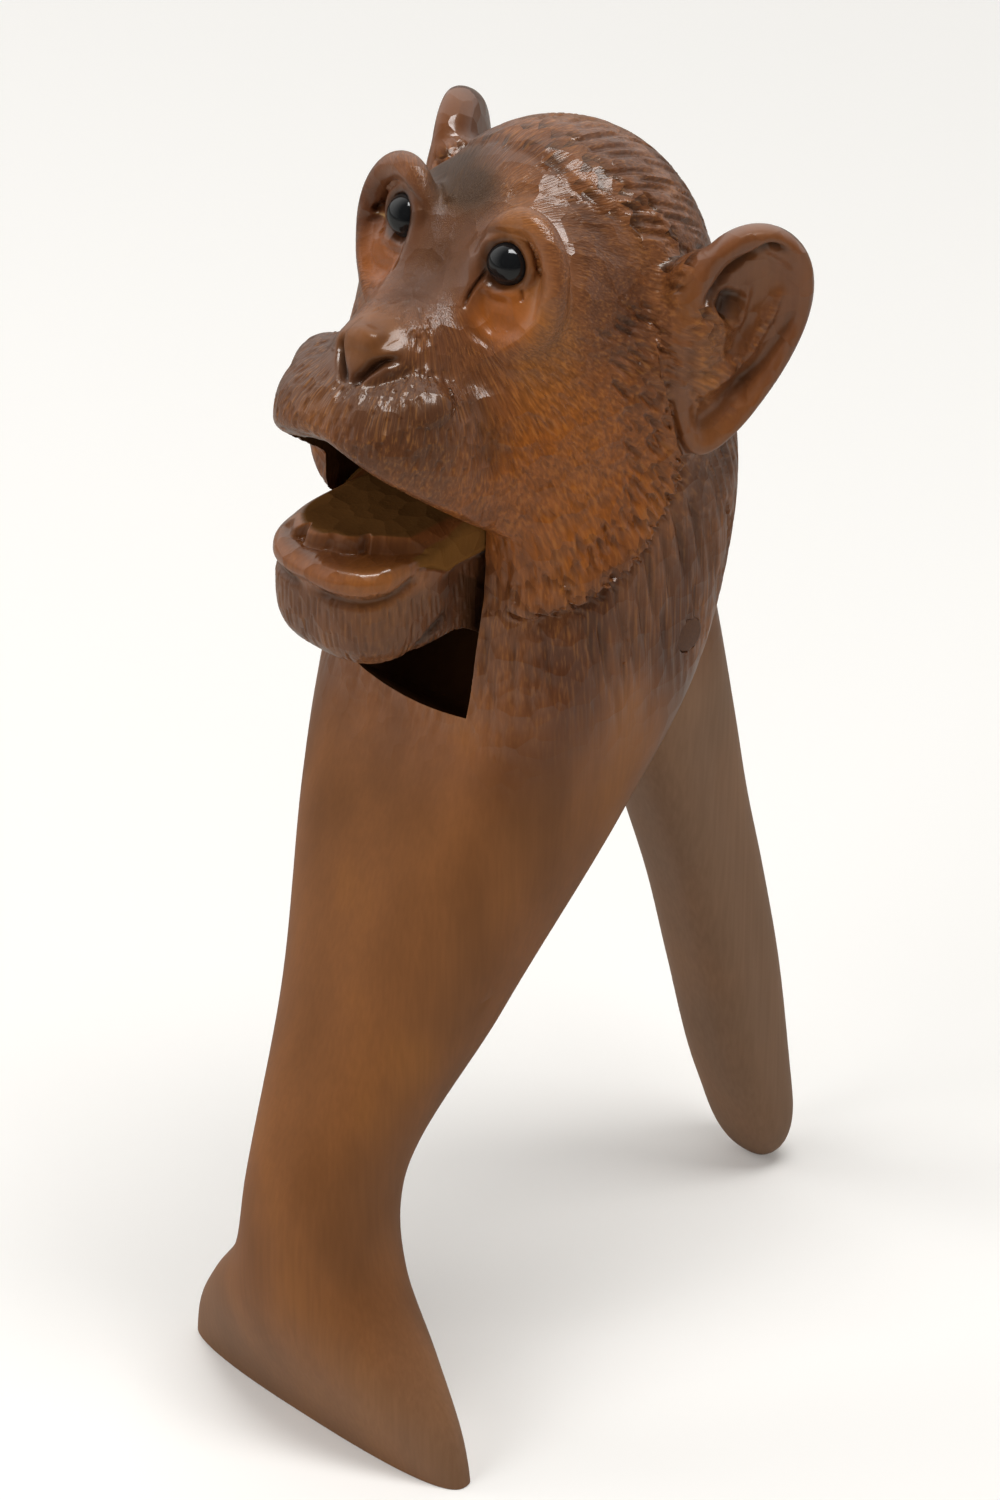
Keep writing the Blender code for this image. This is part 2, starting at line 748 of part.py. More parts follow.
def main():
    clear_scene()
    parts = bpy.data.collections.new("Carved nutcracker")
    cutters = bpy.data.collections.new("Cutters")
    for collection in (parts, cutters):
        bpy.context.scene.collection.children.link(collection)
    pivot = Vector(lever_pivot)
    aside = Vector((1, 0, 0))

    body = make_body(parts)
    slot = side_outline_mesh("slot", slot_outline(), slot_width / 2)
    cut(body, cutter_object("slot", slot, cutters))
    ground_corners = [
        (-head_length, 0),
        (head_length, 0),
        (head_length, -head_length),
        (-head_length, -head_length),
    ]
    ground = side_outline_mesh("ground", ground_corners, sole_width)
    cut(body, cutter_object("ground", ground, cutters))
    bore_mesh = rod_mesh("bore", pin_radius + fit_gap, aside, -neck_width, neck_width)
    bore = cutter_object("bore", bore_mesh, cutters, pivot)
    cut(body, bore)

    lever = make_lever(parts)
    cut(lever, bore)
    move_origin(lever, pivot)

    make_eye(1, "left", body, parts, cutters)
    make_eye(-1, "right", body, parts, cutters)
    finished(body, "stained wood")
    finished(lever, "stained wood")

    reach = surface_reach(body_distance, pivot_setback, pivot_height, neck_width) - pin_recess
    pin_mesh = rod_mesh("pivot_pin", pin_radius, aside, -reach, reach)
    finished(new_object("pivot_pin", pin_mesh, parts, pivot), "dowel end")


main()
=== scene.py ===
# %% [markdown]
# # A nutcracker carved as a monkey's head
#
# The real object is a lever nutcracker, cut by hand from stained hardwood. One block is head,
# neck and front handle. The lower jaw and the rear handle are one lever, which turns on a wooden
# dowel in a slot through the mouth. This lesson dresses the finished CAD model: it carves both
# pieces of wood again with their fur, eyelids, nostrils and teeth, gives them their stain and
# varnish, and lights them as in the photograph. First the frame is loaded, and its box is kept.

# %% Load the frame
import math

import bpy
import numpy as np
from mathutils import Matrix, Vector, kdtree


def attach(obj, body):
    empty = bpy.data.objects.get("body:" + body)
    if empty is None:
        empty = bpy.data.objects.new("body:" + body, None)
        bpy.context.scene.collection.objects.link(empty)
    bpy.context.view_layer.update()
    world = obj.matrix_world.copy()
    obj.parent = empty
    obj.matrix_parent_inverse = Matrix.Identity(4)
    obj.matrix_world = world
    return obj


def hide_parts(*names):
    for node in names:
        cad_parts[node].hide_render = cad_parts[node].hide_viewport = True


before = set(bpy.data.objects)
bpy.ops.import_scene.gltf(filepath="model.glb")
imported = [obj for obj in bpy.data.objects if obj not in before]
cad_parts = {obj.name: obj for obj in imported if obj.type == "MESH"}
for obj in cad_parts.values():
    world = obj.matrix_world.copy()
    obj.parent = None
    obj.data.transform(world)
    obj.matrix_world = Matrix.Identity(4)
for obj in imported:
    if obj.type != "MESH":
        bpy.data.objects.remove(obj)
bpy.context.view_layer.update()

mm = 0.001

# %% [markdown]
# ## The camera
#
# The photograph looks down on the monkey from its front left with a long lens. A tracking
# constraint could aim the camera, but a place worked out from two angles and a distance is just
# as short, and the same numbers can be read back from the picture.

# %% Camera
azimuth = math.radians(45)
elevation = math.radians(32.2)
camera_distance = 1007
back = Vector(
    (
        math.sin(azimuth) * math.cos(elevation),
        -math.cos(azimuth) * math.cos(elevation),
        math.sin(elevation),
    )
)
target = Vector((0, 37.7, 103.3)) * mm
bpy.ops.object.camera_add(location=target + back * camera_distance * mm)
camera = bpy.context.object
camera.rotation_euler = back.to_track_quat("Z", "Y").to_euler()
camera.data.sensor_width = 36
camera.data.lens = 160.8
camera.data.clip_end = 20
bpy.context.scene.camera = camera
print("camera at", [round(value / mm) for value in camera.location])

# %% [markdown]
# ## Light and backdrop
#
# The object stood on white paper in a white tent, open towards the camera, so light reaches it
# from behind and from both sides, the room behind the camera is dim, and a bright window above
# draws the sharp highlights on the varnish. A world that is white behind and dim in front does
# the first two, and its mirror image in the varnish is brighter above. The window is an area
# lamp. Three softer screens fill in the front and the sides, and the varnish doesn't mirror them,
# because the photograph shows no highlight of theirs. The paper is a big plane. Far from the
# middle it glows a little, for the camera alone, so that it runs into the white behind without
# an edge. The lamps stay low enough for brown to stay brown.

# %% Backdrop and lamps
scene = bpy.context.scene
scene.view_settings.view_transform = "Standard"
tent_white = "#fcfbf9"


def linear(code):
    """A hex colour as screens show it, turned to the linear values that shaders use."""
    parts = [int(code[start : start + 2], 16) / 255 for start in (1, 3, 5)]
    parts = [part / 12.92 if part <= 0.04045 else ((part + 0.055) / 1.055) ** 2.4 for part in parts]
    return (*parts, 1.0)


def set_values(node, settings):
    """Sets the values of a node, and joins the outputs among them to its inputs."""
    for name, value in settings.items():
        if isinstance(value, bpy.types.NodeSocket):
            node.id_data.links.new(value, node.inputs[name])
        elif isinstance(name, int) or name in node.inputs:
            node.inputs[name].default_value = value
        else:
            setattr(node, name, value)


def add_node(material, kind, settings=(), output=0):
    """Adds one node to a material or world with its settings, and returns one of its outputs."""
    node = material.node_tree.nodes.new("ShaderNode" + kind)
    set_values(node, dict(settings))
    return node.outputs[output] if node.outputs else None


def new_material(name, settings):
    """A material and its shader, with the values that are the same all over."""
    material = bpy.data.materials.new(name)
    material.use_nodes = True
    shader = material.node_tree.nodes["Principled BSDF"]
    set_values(shader, settings)
    return material, shader


world = bpy.data.worlds.new("white_tent")
world.use_nodes = True
world.node_tree.nodes.clear()
scene.world = world
sky = add_node(world, "TexCoord", output="Generated")
towards_camera = add_node(world, "VectorMath", {"operation": "DOT_PRODUCT", 0: sky, 1: back}, "Value")
tent_level = add_node(
    world,
    "MapRange",
    {"Value": towards_camera, "From Min": -0.15, "From Max": 0.6, "To Min": 1.0, "To Max": 0.03},
)
upwards = add_node(world, "SeparateXYZ", {0: sky}, "Z")
above_level = add_node(
    world, "MapRange", {"Value": upwards, "From Min": 0.1, "From Max": 0.9, "To Min": 0.7, "To Max": 1.5}
)
mirror_level = add_node(world, "Math", {"operation": "MULTIPLY", 0: tent_level, 1: above_level})
light_level = add_node(world, "MapRange", {"Value": tent_level, "To Max": 0.7})
rays = add_node(world, "LightPath").node.outputs
seen_level = add_node(world, "Mix", {0: rays["Is Glossy Ray"], 2: light_level, 3: mirror_level})
plain_view = add_node(
    world, "Math", {"operation": "MAXIMUM", 0: rays["Is Camera Ray"], 1: rays["Is Transmission Ray"]}
)
level = add_node(world, "Mix", {0: plain_view, 2: seen_level, 3: 1.0})
tent = add_node(world, "Background", {"Color": linear(tent_white), "Strength": level})
add_node(world, "OutputWorld", {"Surface": tent})

bpy.ops.mesh.primitive_plane_add(size=6, location=(0, 0, -0.1 * mm))
floor = bpy.context.object
floor.name = "paper_floor"
paper, paper_shader = new_material(
    "white_paper", {"Roughness": 0.9, "Specular IOR Level": 0.1, "Emission Color": linear(tent_white)}
)
rays = add_node(paper, "LightPath").node.outputs
paper_place = add_node(paper, "TexCoord", output="Object")
from_middle = add_node(paper, "VectorMath", {"operation": "LENGTH", 0: paper_place}, "Value")
far_glow = add_node(
    paper,
    "MapRange",
    {"Value": from_middle, "From Min": 0.15, "From Max": 3.0, "To Min": 0.06, "To Max": 1.0},
)
glow = add_node(paper, "Math", {"operation": "MULTIPLY", 0: far_glow, 1: rays["Is Camera Ray"]})
paper_colour = add_node(
    paper,
    "Mix",
    {"data_type": "RGBA", 0: rays["Is Glossy Ray"], 6: linear("#f6f4f0"), 7: linear("#a5a29c")},
    2,
)
set_values(paper_shader, {"Emission Strength": glow, "Base Color": paper_colour})
floor.data.materials.append(paper)


def add_lamp(name, place, sizes, power, mirrored=True):
    """A softbox that faces the head, with its place and its two sizes in millimetres."""
    place = Vector(place) * mm
    bpy.ops.object.light_add(type="AREA", location=place)
    lamp = bpy.context.object
    lamp.name = name
    lamp.data.shape = "RECTANGLE"
    lamp.data.size, lamp.data.size_y = sizes[0] * mm, sizes[1] * mm
    lamp.data.energy = power
    lamp.visible_glossy = mirrored
    lamp.rotation_euler = (place - target).to_track_quat("Z", "Y").to_euler()
    return lamp


window = add_lamp("window_above", (180, 30, 1050), (270, 540), 6.0)
window.rotation_euler.rotate_axis("Z", azimuth)
add_lamp("screen_front", (-100, -850, 560), (600, 600), 4.0, mirrored=False)
add_lamp("screen_left", (-700, -450, 600), (500, 500), 2.4, mirrored=False)
add_lamp("screen_right", (900, 0, 420), (500, 500), 1.5, mirrored=False)

# %% [markdown]
# ## A block that can be carved
#
# A carver saws a rough block, rounds its masses, and then cuts the detail. The model is made the
# same way. The masses are blocked in with spheres and extruded stems and melted together with a
# Remesh modifier. Sculpt mode would need a hand, so the smooth form is described by distances:
# each function tells how far a point lies outside a form, and the surface is drawn to where that
# is nothing. Forms that are joined softly get a fillet. All the tables are in millimetres.

# %% Distances
def axes_turned(tilt=0.0, yaw=0.0, lean=0.0):
    """Axes leaned about Y, tilted about X, then turned about Z, in degrees, as columns."""
    leaning = Matrix.Rotation(math.radians(lean), 3, "Y")
    tilting = Matrix.Rotation(math.radians(tilt), 3, "X")
    yawing = Matrix.Rotation(math.radians(yaw), 3, "Z")
    return np.array(yawing @ tilting @ leaning)


def ball_distance(points, centre, radii, squareness=2.0):
    """Distance from an ellipsoid, or from a squarer ball where squareness is over 2."""
    local = np.abs(points - centre) / radii
    reach = (local**squareness).sum(axis=1) ** (1 / squareness)
    slope = np.linalg.norm(local / radii, axis=1) + 0.01 / np.max(radii)
    return reach * (reach - 1) / slope


def oval_distance(across, up, half_width, half_height):
    """Distance in a plane from an oval outline."""
    reach = np.hypot(across / half_width, up / half_height)
    return np.hypot(across, up) * (1 - 1 / np.maximum(reach, 0.05))


def joined(first, second, softness):
    """Both solids, with a fillet of about this softness where they meet."""
    mix = np.clip(0.5 + (second - first) / (2 * softness), 0, 1)
    return second + (first - second) * mix - softness * mix * (1 - mix)


def hollowed(solid, tool, softness):
    """The solid less the tool."""
    return -joined(-solid, tool, softness)


def smooth_step(values, start, end):
    """0 before start, 1 after end, and an even curve between them."""
    part = np.clip((values - start) / (end - start), 0, 1)
    return part * part * (3 - 2 * part)


def folded(points):
    """Each point, moved to its mirror image on the left where it lies on the right."""
    return np.column_stack([np.abs(points[:, 0]), points[:, 1:]])


def along(table, heights):
    """The rows of a table, read at each height on a smooth curve through them."""
    table = np.asarray(table, float)
    steps = table[:, 0]
    slopes = np.gradient(table, steps, axis=0)
    heights = np.clip(heights, steps[0], steps[-1])
    row = np.clip(np.searchsorted(steps, heights, side="right") - 1, 0, len(steps) - 2)
    width = (steps[row + 1] - steps[row])[:, None]
    part = (heights - steps[row])[:, None] / width
    return (
        (2 * part**3 - 3 * part**2 + 1) * table[row]
        + (part**3 - 2 * part**2 + part) * width * slopes[row]
        + (3 * part**2 - 2 * part**3) * table[row + 1]
        + (part**3 - part**2) * width * slopes[row + 1]
    )


def loft_distance(points, table, dome=0.0):
    """Distance from a stem of rounded sections, closed below by a dome if it has one."""
    rows = along(table, points[:, 2])
    centre, half_width, half_depth, squareness = rows[:, 1:].T
    across = np.abs(points[:, 0] / half_width) ** squareness
    deep = np.abs((points[:, 1] - centre) / half_depth) ** squareness
    below = np.clip((dome - points[:, 2]) / dome, 0, None) ** squareness if dome else 0
    reach = (across + deep + below) ** (1 / squareness)
    return (reach - 1) * np.minimum(half_width, half_depth)


def slopes_of(distance, points, step=0.05):
    """The direction in which a distance grows at each point, and the distance itself."""
    here = distance(points)
    slope = np.stack([(distance(points + step * way) - here) / step for way in np.eye(3)], axis=1)
    return slope, here


# %% [markdown]
# ## The forms of head and front handle
#
# Each row of the stem is one section through foot, ankle and neck. Each row of the masses is one
# rounded form of the head: skull, cheeks, muzzle, nose. The eye sockets get a raised ring and a
# lid round the bead, and the ears are dished plates with a rolled rim. The left half is enough,
# because the distances see the right half as its mirror image.

# %% Forms of the block
stem_rows = [
    # height, centre, half width, half depth, squareness
    (-10.0, 0.8, 29.5, 5.0, 2.6),
    (0.0, 0.8, 29.5, 5.0, 2.6),
    (8.6, 0.32, 27.19, 7.81, 2.2),
    (17.2, -0.48, 22.02, 9.96, 2.2),
    (27.95, -1.12, 14.55, 11.16, 2.2),
    (43.0, 0.0, 11.7, 11.7, 2.2),
    (70.18, 15.11, 16.72, 16.56, 2.2),
    (100.43, 30.23, 23.79, 21.26, 2.6),
    (121.0, 40.3, 26.0, 22.5, 3.4),
    (134.31, 44.93, 26.0, 24.75, 3.0),
    (150.04, 48.48, 25.09, 25.76, 2.6),
    (164.56, 49.37, 23.4, 23.4, 2.3),
    (179.08, 48.96, 17.68, 17.1, 2.1),
]
stem_top = stem_rows[-1][0]
mass_rows = [
    # name, place, radii, squareness, softness
    ("skull", (0, 48.48, 175.8), (23.0, 24.96, 28.0), 2.0, 4.8),
    ("temple", (9.0, 35.2, 184.6), (11.0, 12.0, 9.6), 2.0, 6.4),
    ("cheek", (9.0, 38.0, 165.96), (15.0, 18.96, 20.0), 2.0, 6.4),
    ("jowl", (11.5, 36.0, 151.96), (13.0, 14.0, 16.0), 2.0, 4.0),
    ("lip side", (9.0, 20.96, 163.0), (8.5, 13.2, 12.0), 2.2, 4.0),
    ("muzzle", (0, 17.2, 169.0), (16.0, 17.2, 11.6), 2.6, 3.2),
    ("nose bridge", (0, 23.2, 179.96), (9.5, 15.2, 8.0), 2.0, 4.0),
    ("nose tip", (0, 12.2, 183.4), (3.5, 3.5, 2.8), 2.8, 1.0),
    ("nose wing", (3.4, 12.8, 181.7), (2.6, 3.4, 2.5), 2.4, 1.0),
    ("nape", (0, 51.6, 165.4), (22.0, 22.0, 20.8), 2.2, 4.8),
    ("ear root", (24.0, 52.8, 178.2), (5.0, 6.4, 12.8), 2.0, 2.4),
]
eye_centre = np.array((10.2, 29.68, 193.0))
eye_radius = 3.4
ring_centre = np.array((12.4, 29.28, 190.8))
ring_tilt, ring_yaw = -12, 8
ring_axes = axes_turned(tilt=ring_tilt, yaw=ring_yaw)
ring_half_width, ring_half_height, ring_half_thickness = 6.2, 8.9, 2.08
socket_forward, socket_radii = 8.6, np.array((6.8, 9.2, 9.6))
lid_radius, lid_half_thickness, lid_heavier = 3.95, 0.75, 0.1
bag_centre, bag_radii = np.array((11.6, 29.4, 186.2)), np.array((6.2, 3.6, 4.6))
pad_centre, pad_radii = np.array((9.6, 11.4, 177.2)), np.array((5.2, 4.2, 2.4))
pad_axes = axes_turned(tilt=22, yaw=36)
ear_centre = np.array((28.2, 56.6, 177.3))
ear_axes = axes_turned(yaw=60, lean=17)
ear_half_width, ear_half_height, ear_half_thickness, ear_dish = 9.2, 18.3, 2.0, 3.2
lobe_narrower, rim_forward, rim_half_thickness = 0.33, 1.2, 2.0


def ring_distance(points):
    """Distance from the raised rim of an eye socket."""
    local = (points - ring_centre) @ ring_axes
    from_oval = oval_distance(local[:, 0], local[:, 2], ring_half_width, ring_half_height)
    return np.hypot(from_oval, local[:, 1]) - ring_half_thickness


def socket_distance(points):
    """Distance from the shallow bowl inside the ring."""
    local = (points - ring_centre) @ ring_axes
    return ball_distance(local, np.array((0, -socket_forward, 0)), socket_radii)


def lid_distance(points):
    """Distance from the eyelids, a thin oval roll that hugs the bead, heavier above it."""
    local = (points - eye_centre) @ ring_axes
    from_oval = oval_distance(local[:, 0], local[:, 2], lid_radius, lid_radius)
    half_thickness = lid_half_thickness + lid_heavier * np.clip(local[:, 2] / 3, -1, 1)
    return np.hypot(from_oval, local[:, 1] + 0.6) - half_thickness


def ear_distance(points):
    """Distance from an ear: a dished plate, narrower at the lobe, with a rolled rim."""
    local = (points - ear_centre) @ ear_axes
    up = local[:, 2]
    across = local[:, 0] / (1 + lobe_narrower * np.clip(up / ear_half_height, -1, 1))
    reach = np.clip(np.hypot(across / ear_half_width, up / ear_half_height), 0, 1.2)
    outward = -local[:, 1] - ear_dish * (reach**2 - 1)
    edge = oval_distance(across, up, ear_half_width, ear_half_height)
    beyond = np.hypot(np.maximum(edge + ear_half_thickness, 0), outward)
    plate = np.where(edge < -ear_half_thickness, np.abs(outward), beyond) - ear_half_thickness
    rim = np.hypot(edge + ear_half_thickness, outward - rim_forward) - rim_half_thickness
    return joined(plate, rim, 1.0)


def gape_distance(points, far_side):
    """Distance from the open space under the upper lip, which ends sooner on the far side."""
    lip, corner = np.array((0.8, 169.6)), np.array((22.8, 152.6))
    run = (corner - lip) / np.linalg.norm(corner - lip)
    under_lip = (points[:, 2] - lip[1]) * run[0] - (points[:, 1] - lip[0]) * run[1]
    lip_bow, bow_width, gape_end, ends_sooner = 2.08, 8.0, 23.2, 9.2
    under_lip = under_lip - lip_bow * np.exp(-((points[:, 0] / bow_width) ** 2))
    return np.maximum(under_lip, points[:, 1] - gape_end + ends_sooner * far_side)


def block_distance(points):
    """Distance from the carved block, before slot and holes are cut."""
    far_side = smooth_step(-points[:, 0], 6, 11)
    points = folded(points)
    solid = None
    for _, place, radii, squareness, softness in mass_rows:
        mass = ball_distance(points, np.array(place), np.array(radii), squareness)
        solid = mass if solid is None else joined(solid, mass, softness)
    solid = joined(solid, ring_distance(points), 2.4)
    solid = hollowed(solid, socket_distance(points), 1.2)
    solid = joined(solid, lid_distance(points), 1.2)
    bag = ball_distance((points - bag_centre) @ ring_axes, np.zeros(3), bag_radii)
    solid = joined(solid, bag, 1.4)
    pad = ball_distance((points - pad_centre) @ pad_axes, np.zeros(3), pad_radii)
    solid = joined(solid, pad, 1.0)
    solid = hollowed(solid, gape_distance(points, far_side), 1.6)
    solid = joined(solid, ear_distance(points), 2.4)
    neck = np.maximum(loft_distance(points, stem_rows), points[:, 2] - stem_top)
    return joined(neck, solid, 3.2)


print("masses:", [row[0] for row in mass_rows])

# %% [markdown]
# ## Blocking in
#
# The rough shape only has to lie near the finished surface. Spheres stand for the masses, and a
# ring that is extruded, moved and resized section by section stands for the stem. Joined, they
# still cross each other, and a Remesh modifier turns them into one closed skin of even squares.

# %% Blocking tools
def one_object(made):
    """Selects this object alone and makes it active."""
    bpy.ops.object.select_all(action="DESELECT")
    made.select_set(True)
    bpy.context.view_layer.objects.active = made


def add_mass(place, radii, turn=(0, 0, 0)):
    """A stretched sphere for one mass, and its mirror image if it lies to one side."""
    made = []
    for side in (1, -1) if place[0] else (1,):
        bpy.ops.mesh.primitive_uv_sphere_add(
            segments=32,
            ring_count=20,
            location=Vector((side * place[0], place[1], place[2])) * mm,
            rotation=(turn[0], side * turn[1], side * turn[2]),
            scale=Vector(radii) * mm,
        )
        made.append(bpy.context.object)
    return made


def add_stem(rows, heights, dome=0.0):
    """A ring of points drawn up through the sections of a stem."""
    sections = along(rows, heights)
    bpy.ops.mesh.primitive_circle_add(vertices=32, radius=mm, fill_type="NGON")
    made = bpy.context.object
    bpy.ops.object.mode_set(mode="EDIT")
    before = np.array((0.0, 0.0, 1.0, 1.0))
    for index, (height, centre, half_width, half_depth, _) in enumerate(sections):
        shrink = max(1 - max(1 - height / dome, 0) ** 2, 0.05) ** 0.5 if dome else 1
        here = np.array((height, centre, half_width * shrink, half_depth * shrink))
        if index:
            bpy.ops.mesh.extrude_region_move()
        centre_before = Vector((0, before[1], before[0])) * mm
        growth = here[2:] / before[2:]
        bpy.ops.transform.resize(value=(*growth, 1), center_override=centre_before)
        bpy.ops.transform.translate(
            value=Vector((0, here[1] - before[1], here[0] - before[0])) * mm
        )
        before = here
    bpy.ops.object.mode_set(mode="OBJECT")
    return made


def melt(pieces, name, square):
    """Joins the rough pieces and remeshes them with squares of this size."""
    bpy.ops.object.select_all(action="DESELECT")
    for piece in pieces:
        piece.select_set(True)
    bpy.context.view_layer.objects.active = pieces[0]
    bpy.ops.object.join()
    made = bpy.context.object
    made.name = name
    bpy.ops.object.transform_apply()
    bpy.ops.object.mode_set(mode="EDIT")
    bpy.ops.mesh.select_all(action="SELECT")
    bpy.ops.mesh.normals_make_consistent(inside=False)
    bpy.ops.object.mode_set(mode="OBJECT")
    remesh = made.modifiers.new("Skin", "REMESH")
    remesh.mode = "VOXEL"
    remesh.voxel_size = square * mm
    bpy.ops.object.modifier_apply(modifier=remesh.name)
    return made


def read_points(made):
    """The corners of a mesh in millimetres."""
    flat = np.empty(len(made.data.vertices) * 3)
    made.data.vertices.foreach_get("co", flat)
    return flat.reshape(-1, 3) / mm


def write_points(made, points):
    """Moves the corners of a mesh to these places in millimetres."""
    made.data.vertices.foreach_set("co", (points * mm).ravel())
    made.data.update()


def read_normals(made):
    """The directions in which the skin faces at its corners."""
    flat = np.empty(len(made.data.vertices) * 3)
    made.data.vertices.foreach_get("normal", flat)
    return flat.reshape(-1, 3)


def eased(made, values):
    """Each corner's values, halfway to the mean of the corners that it is joined to."""
    ends = np.empty(len(made.data.edges) * 2, int)
    made.data.edges.foreach_get("vertices", ends)
    ends = ends.reshape(-1, 2)
    here, there = np.concatenate([ends, ends[:, ::-1]]).T
    count = np.bincount(here, minlength=len(values))
    columns = [np.bincount(here, column[there], len(values)) / count for column in values.T]
    return 0.5 * values + 0.5 * np.stack(columns, axis=1)


def draw_onto(made, distance, rounds, steps):
    """Eases the skin and draws it down to where the distance is nothing."""
    points = read_points(made)
    for _ in range(rounds):
        points = eased(made, points)
        for _ in range(steps):
            slope, here = slopes_of(distance, points)
            move = here[:, None] * slope / np.maximum((slope**2).sum(axis=1), 0.04)[:, None]
            length = np.linalg.norm(move, axis=1, keepdims=True)
            points = points - move * np.minimum(1, 1.2 / np.maximum(length, 0.001))
    write_points(made, points)


def subdivide_where(made, wanted):
    """Cuts each face in four where all its corners are wanted."""
    one_object(made)
    bpy.ops.object.mode_set(mode="EDIT")
    bpy.ops.mesh.select_mode(type="VERT")
    bpy.ops.mesh.select_all(action="DESELECT")
    bpy.ops.object.mode_set(mode="OBJECT")
    made.data.vertices.foreach_set("select", wanted)
    bpy.ops.object.mode_set(mode="EDIT")
    bpy.ops.mesh.subdivide(number_cuts=1)
    bpy.ops.object.mode_set(mode="OBJECT")


# %% Block in head and front handle
coarse_square = 0.72
head_from, face_from, face_front = 108, 168, 33
pieces = [add_stem(stem_rows, np.linspace(-8, 179, 40))]
for _, place, radii, _, _ in mass_rows:
    pieces += add_mass(place, radii)
ring_turn = (math.radians(ring_tilt), 0, math.radians(ring_yaw))
pieces += add_mass(ring_centre + (0, 0.8, 0), (7.4, 2.6, 10.0), ring_turn)
for side in (1, -1):
    bpy.ops.mesh.primitive_uv_sphere_add(segments=48, ring_count=24)
    ear = bpy.context.object
    local = np.array([vertex.co for vertex in ear.data.vertices])
    across, up, outward = local.T
    stretch = 1 / np.maximum(np.hypot(across, up), 0.4)
    across, up = across * stretch, up * stretch
    shaped = np.stack(
        [
            across * ear_half_width * (1 + lobe_narrower * up),
            ear_dish * (1 - across**2 - up**2) + outward * 2.4,
            up * ear_half_height,
        ],
        axis=1,
    )
    write_points(ear, (ear_centre + shaped @ ear_axes.T) * (side, 1, 1))
    pieces.append(ear)
block = melt(pieces, "carved_head_and_handle", coarse_square)
draw_onto(block, block_distance, 3, 2)
subdivide_where(block, read_points(block)[:, 2] > head_from)
draw_onto(block, block_distance, 1, 2)
points = read_points(block)
subdivide_where(block, (points[:, 1] < face_front) & (points[:, 2] > face_from))
draw_onto(block, block_distance, 1, 2)
print(block.name, "blocked in with", len(block.data.polygons), "faces")

# %% [markdown]
# ## Carving with strokes
#
# A gouge leaves a furrow along its path, and a rounded chisel leaves a ridge between two cuts.
# So one helper is enough for lids, creases, nostrils and ear folds: it measures how far each
# corner lies from a path, and pushes it in or out by a rounded profile. The paths were read from
# the photograph for the left side, and the mirror image is cut with them.

# %% Stroke tools
def smooth_path(places, steps=6):
    """A smooth curve through a few places, as many short runs."""
    places = np.asarray(places, float)
    table = np.column_stack([np.arange(len(places)), places])
    return along(table, np.linspace(0, len(places) - 1, steps * (len(places) - 1) + 1))[:, 1:]


def path_distance(points, path):
    """How far each point lies from a path, and where along it, from 0 to 1."""
    gaps = np.full(len(points), 1e3)
    shares = np.zeros(len(points))
    for index, (start, end) in enumerate(zip(path, path[1:])):
        run = end - start
        part = np.clip((points - start) @ run / (run @ run), 0, 1)
        gap = np.linalg.norm(points - start - part[:, None] * run, axis=1)
        closer = gap < gaps
        gaps[closer] = gap[closer]
        shares[closer] = (index + part[closer]) / (len(path) - 1)
    return gaps, shares


def carve(points, normals, path, width, depth, sides="both", sharp=False, taper=0.3):
    """Pushes the surface in by depth along a path, or out if depth is negative."""
    seen, turned = points * (1, 1, 1), normals * (1, 1, 1)
    if sides != "one":
        turned[:, 0] *= np.where(points[:, 0] < 0, -1, 1)
        seen[:, 0] = np.abs(points[:, 0])
    path = smooth_path(path)
    low, high = path.min(axis=0) - 3 * width, path.max(axis=0) + 3 * width
    near = np.all((seen > low) & (seen < high), axis=1)
    if sides == "ears":
        near &= turned @ np.array((0.9, -0.4, 0)) > 0.1
    gaps, shares = path_distance(seen[near], path)
    profile = np.clip(1 - gaps / width, 0, 1) if sharp else np.exp(-((gaps / width) ** 2))
    ends = smooth_step(shares, -0.02, taper) * smooth_step(1.02 - shares, 0, taper)
    points[near] -= normals[near] * (depth * profile * ends)[:, None]


def onto_surface(path, distance):
    """Slides each place along the line of sight until it lies on the surface."""
    path = np.asarray(path, float)
    for _ in range(10):
        slope, here = slopes_of(distance, path)
        facing = np.maximum(slope @ np.array(back), 0.3)
        path = path - np.clip(here / facing, -1, 1)[:, None] * np.array(back)
    return path


